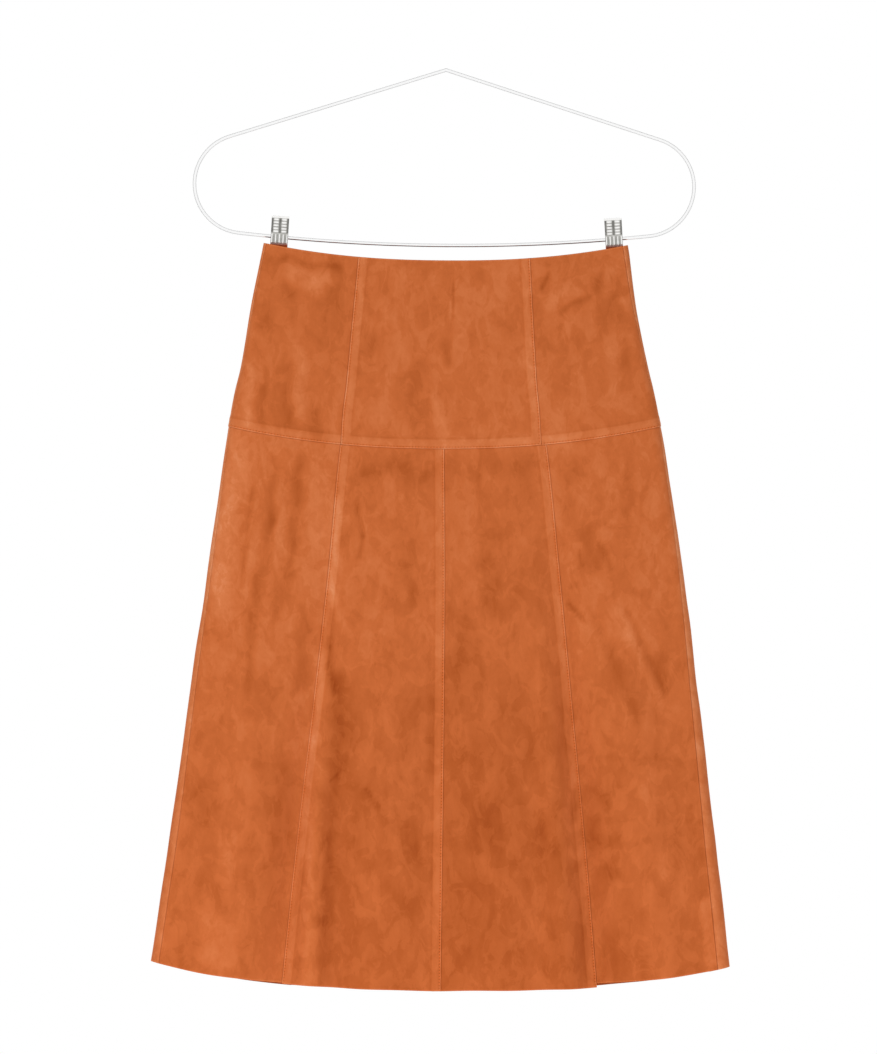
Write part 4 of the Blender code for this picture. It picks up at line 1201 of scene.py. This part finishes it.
for clip, x in CLIP_X.items():
    for plate_name, plate in CLIP_PLATES.items():
        side, half_width = plate["side"], plate["half_width"]
        bends = np.hypot(np.diff(CLIP_PROFILE["out"]), np.diff(CLIP_PROFILE["up"]))
        knots = np.append(0.0, np.cumsum(bends))
        length = np.linspace(0, knots[-1], 110)
        blur = np.linspace(-0.0012, 0.0012, 7)
        out = np.interp(length[:, None] + blur, knots, CLIP_PROFILE["out"]).mean(1)
        up = np.interp(length[:, None] + blur, knots, CLIP_PROFILE["up"]).mean(1)
        ahead = np.stack([np.gradient(out), np.gradient(up)], axis=-1)
        ahead /= np.linalg.norm(ahead, axis=1, keepdims=True)
        outward = np.stack([-ahead[:, 1], ahead[:, 0]], axis=-1)
        width = np.linspace(-half_width, half_width, 56)
        relief, dark = clip_relief(width[None, :], up[:, None])
        curl = 0.0004 * np.exp(-(((up - 0.0186) / 0.0012) ** 2))[:, None]
        faces_y = []
        for offset in (CLIP_SHEET + relief + curl, 0 * relief):
            y = side * (out[:, None] + outward[:, :1] * offset)
            z = up[:, None] + outward[:, 1:] * offset
            faces_y.append(np.stack([width[None, :] + 0 * z, y, z], axis=-1))
        points = np.array(faces_y)
        if side > 0:
            points = points[:, :, ::-1]
            dark = dark[:, ::-1]
        faces = shell_faces(110, 56)
        ear_points = [
            washer(ear * (half_width - CLIP_SHEET / 2), side * EAR_SHIFT,
                   plate["ear_radius"], EAR_HOLE_RADIUS, CLIP_SHEET)
            for ear in (-1, 1)
        ]
        ear_faces = grid_faces(41, 4, close_columns=True) % 160
        start = points.reshape(-1, 3).shape[0]
        all_points = np.concatenate([grid.reshape(-1, 3) for grid in (points, *ear_points)])
        all_faces = faces.tolist() + [
            (f + start + 160 * i).tolist() for i in range(2) for f in ear_faces[:, ::-1]
        ]
        made = add_piece(
            f"{clip}_{plate_name}_pressed", placed_on_bar(all_points, x), all_faces, nickel
        )
        # Painted shade in the recesses between the pads and the ribs.
        sunk = np.zeros(len(all_points))
        sunk[: dark.size] = dark.ravel()
        made.data.attributes.new("recess", "FLOAT", "POINT").data.foreach_set("value", sunk)
        # The front jaws' painted reflection of the suede, growing downwards to their lips.
        jaw_reflection_share = smooth((JAW_REFLECTION_TOP - all_points[:, 2]) / JAW_REFLECTION_FADE) * plate["dust"]
        made.data.attributes.new("dust", "FLOAT", "POINT").data.foreach_set("value", jaw_reflection_share)
        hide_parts(f"{clip}_{plate_name}")

    turns = SPRING_TURNS + 0.5
    angle = np.linspace(0, 2 * math.pi * turns, 160)
    coil = np.stack([
        SPRING_PITCH * (angle / (2 * math.pi) - turns / 2),
        -SPRING_RADIUS * np.cos(angle),
        -SPRING_RADIUS * np.sin(angle),
    ], axis=-1)
    rise = np.array([0.0, 0.0, SPRING_LEG])
    share = np.linspace(1, 0, 8, endpoint=False)[:, None]
    coil_path = np.concatenate([coil[0] + rise * share, coil, coil[-1] + rise * share[::-1]])
    rings = swept(placed_on_bar(coil_path, x), SPRING_WIRE_RADIUS, 10, (1.0, 0.0, 0.0))
    count = len(rings)
    spring_faces = grid_faces(count, 10, close_columns=True)[:, ::-1].tolist()
    spring_faces += [list(range(10)), list(range(count * 10 - 1, count * 10 - 11, -1))]
    made = add_piece(f"{clip}_spring_coil", rings, spring_faces, nickel)
    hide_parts(f"{clip}_spring")


# ---- Studio ----
# A plain pale floor in a white surround. Large soft lights stand in front, a little to the left,
# with weaker ones at the sides, and two more behind so that the back is lit as evenly.

FLOOR_Z = -0.95
CAMERA_DISTANCE = 8.0
VIEW_CENTRE = (-0.0068, -0.4095)
VIEW_HEIGHT = 0.9486

# Matt and even, so that the floor gives only a soft shadow and no edge.
floor_paint, tree, shader = new_material("matt white floor paint", {
    "Base Color": hex_colour("F4F3F1"),
    "Roughness": 0.7,
    "Emission Color": hex_colour("FFFFFF"),
    "Emission Strength": 0.35,
})
# The floor melts into the white surround between these distances from the middle.
floor_place = add_node(tree, "TexCoord")
floor_away = add_node(tree, "VectorMath", {0: (floor_place, "Object")}, operation="LENGTH")
floor_fade = add_node(
    tree, "MapRange",
    {"Value": (floor_away, "Value"), "From Min": 1.08, "From Max": 1.34, "To Min": 1.0,
     "To Max": 0.0},
    interpolation_type="SMOOTHSTEP",
)
tree.links.new(floor_fade.outputs["Result"], shader.inputs["Alpha"])
ring_radii = np.array([0.0, 0.3, 0.6, 0.9, 1.2])
angle = np.arange(48) * 2 * math.pi / 48
floor_points = np.stack([
    ring_radii[1:, None] * np.cos(angle),
    ring_radii[1:, None] * np.sin(angle),
    np.full((4, 48), FLOOR_Z),
], axis=-1)
floor_faces = grid_faces(4, 48, close_columns=True)[:, ::-1].tolist() + [list(range(48))]
floor_mesh = bpy.data.meshes.new("floor")
floor_mesh.from_pydata(floor_points.reshape(-1, 3).tolist(), [], floor_faces)
floor_mesh.materials.append(floor_paint)
floor = bpy.data.objects.new("floor", floor_mesh)
bpy.context.scene.collection.objects.link(floor)
floor.visible_glossy = False

world = bpy.data.worlds.new("white studio")
bpy.context.scene.world = world
world.use_nodes = True
tree = world.node_tree
tree.nodes.clear()
direction = add_node(tree, "TexCoord")
axes = add_node(tree, "SeparateXYZ", {"Vector": (direction, "Generated")})
facing = add_node(tree, "Math", {0: (axes, "Y")}, operation="ABSOLUTE")
# Dark flags at the sides, above and below give bright metal its thin grey edges.
surround = add_node(
    tree, "ValToRGB", {"Fac": (facing, "Value")},
    [(place, (grey, grey, grey, 1.0)) for place, grey in (
        (0.0, 0.10), (0.10, 0.14), (0.20, 0.94), (1.0, 1.0),
    )],
)
ray = add_node(tree, "LightPath")
even = add_node(
    tree, "Mix",
    {"Factor": (ray, "Is Diffuse Ray"), 6: (surround, "Color"), 7: (0.27, 0.27, 0.27, 1.0)},
    data_type="RGBA",
)
seen = add_node(
    tree, "Mix", {"Factor": (ray, "Is Camera Ray"), 6: (even, 2), 7: (1.0, 1.0, 1.0, 1.0)},
    data_type="RGBA",
)
background = add_node(tree, "Background", {"Color": (seen, 2)})
add_node(tree, "OutputWorld", {"Surface": (background, "Background")})


def soft_light(name, place, aim, size, watts):
    """A square softbox aimed at a point."""
    data = bpy.data.lights.new(name, "AREA")
    data.shape = "SQUARE"
    data.size = size
    data.energy = watts
    made = bpy.data.objects.new(name, data)
    bpy.context.scene.collection.objects.link(made)
    back = np.array(place, float) - aim
    back /= np.linalg.norm(back)
    side = np.cross((0.0, 0.0, 1.0), back)
    side /= np.linalg.norm(side)
    up = np.cross(back, side)
    rows = [(side[i], up[i], back[i], place[i]) for i in range(3)]
    made.matrix_world = Matrix([*rows, (0.0, 0.0, 0.0, 1.0)])
    made.visible_camera = False
    made.visible_glossy = False
    return made


AIM = np.array([0.0, 0.0, -0.45])
soft_light("key", (-1.1, -2.6, 0.15), AIM, 1.2, 36.5)
soft_light("fill", (1.2, -2.5, -0.5), AIM, 1.5, 17.5)
soft_light("left_edge", (-2.6, -0.5, -0.45), AIM, 1.2, 13)
soft_light("right_edge", (2.6, -0.5, -0.45), AIM, 1.2, 10)
soft_light("back_key", (1.1, 2.6, 0.15), AIM, 1.2, 46)
soft_light("back_fill", (-1.2, 2.5, -0.5), AIM, 1.5, 20)

camera_data = bpy.data.cameras.new("camera")
camera_data.sensor_width = 36.0
camera_data.lens = 36.0 * CAMERA_DISTANCE / VIEW_HEIGHT
camera_data.clip_end = 50.0
camera = bpy.data.objects.new("camera", camera_data)
camera.location = (VIEW_CENTRE[0], -CAMERA_DISTANCE, VIEW_CENTRE[1])
camera.rotation_euler = (math.pi / 2, 0.0, 0.0)
bpy.context.scene.collection.objects.link(camera)
bpy.context.scene.camera = camera
bpy.context.scene.view_settings.view_transform = "Standard"
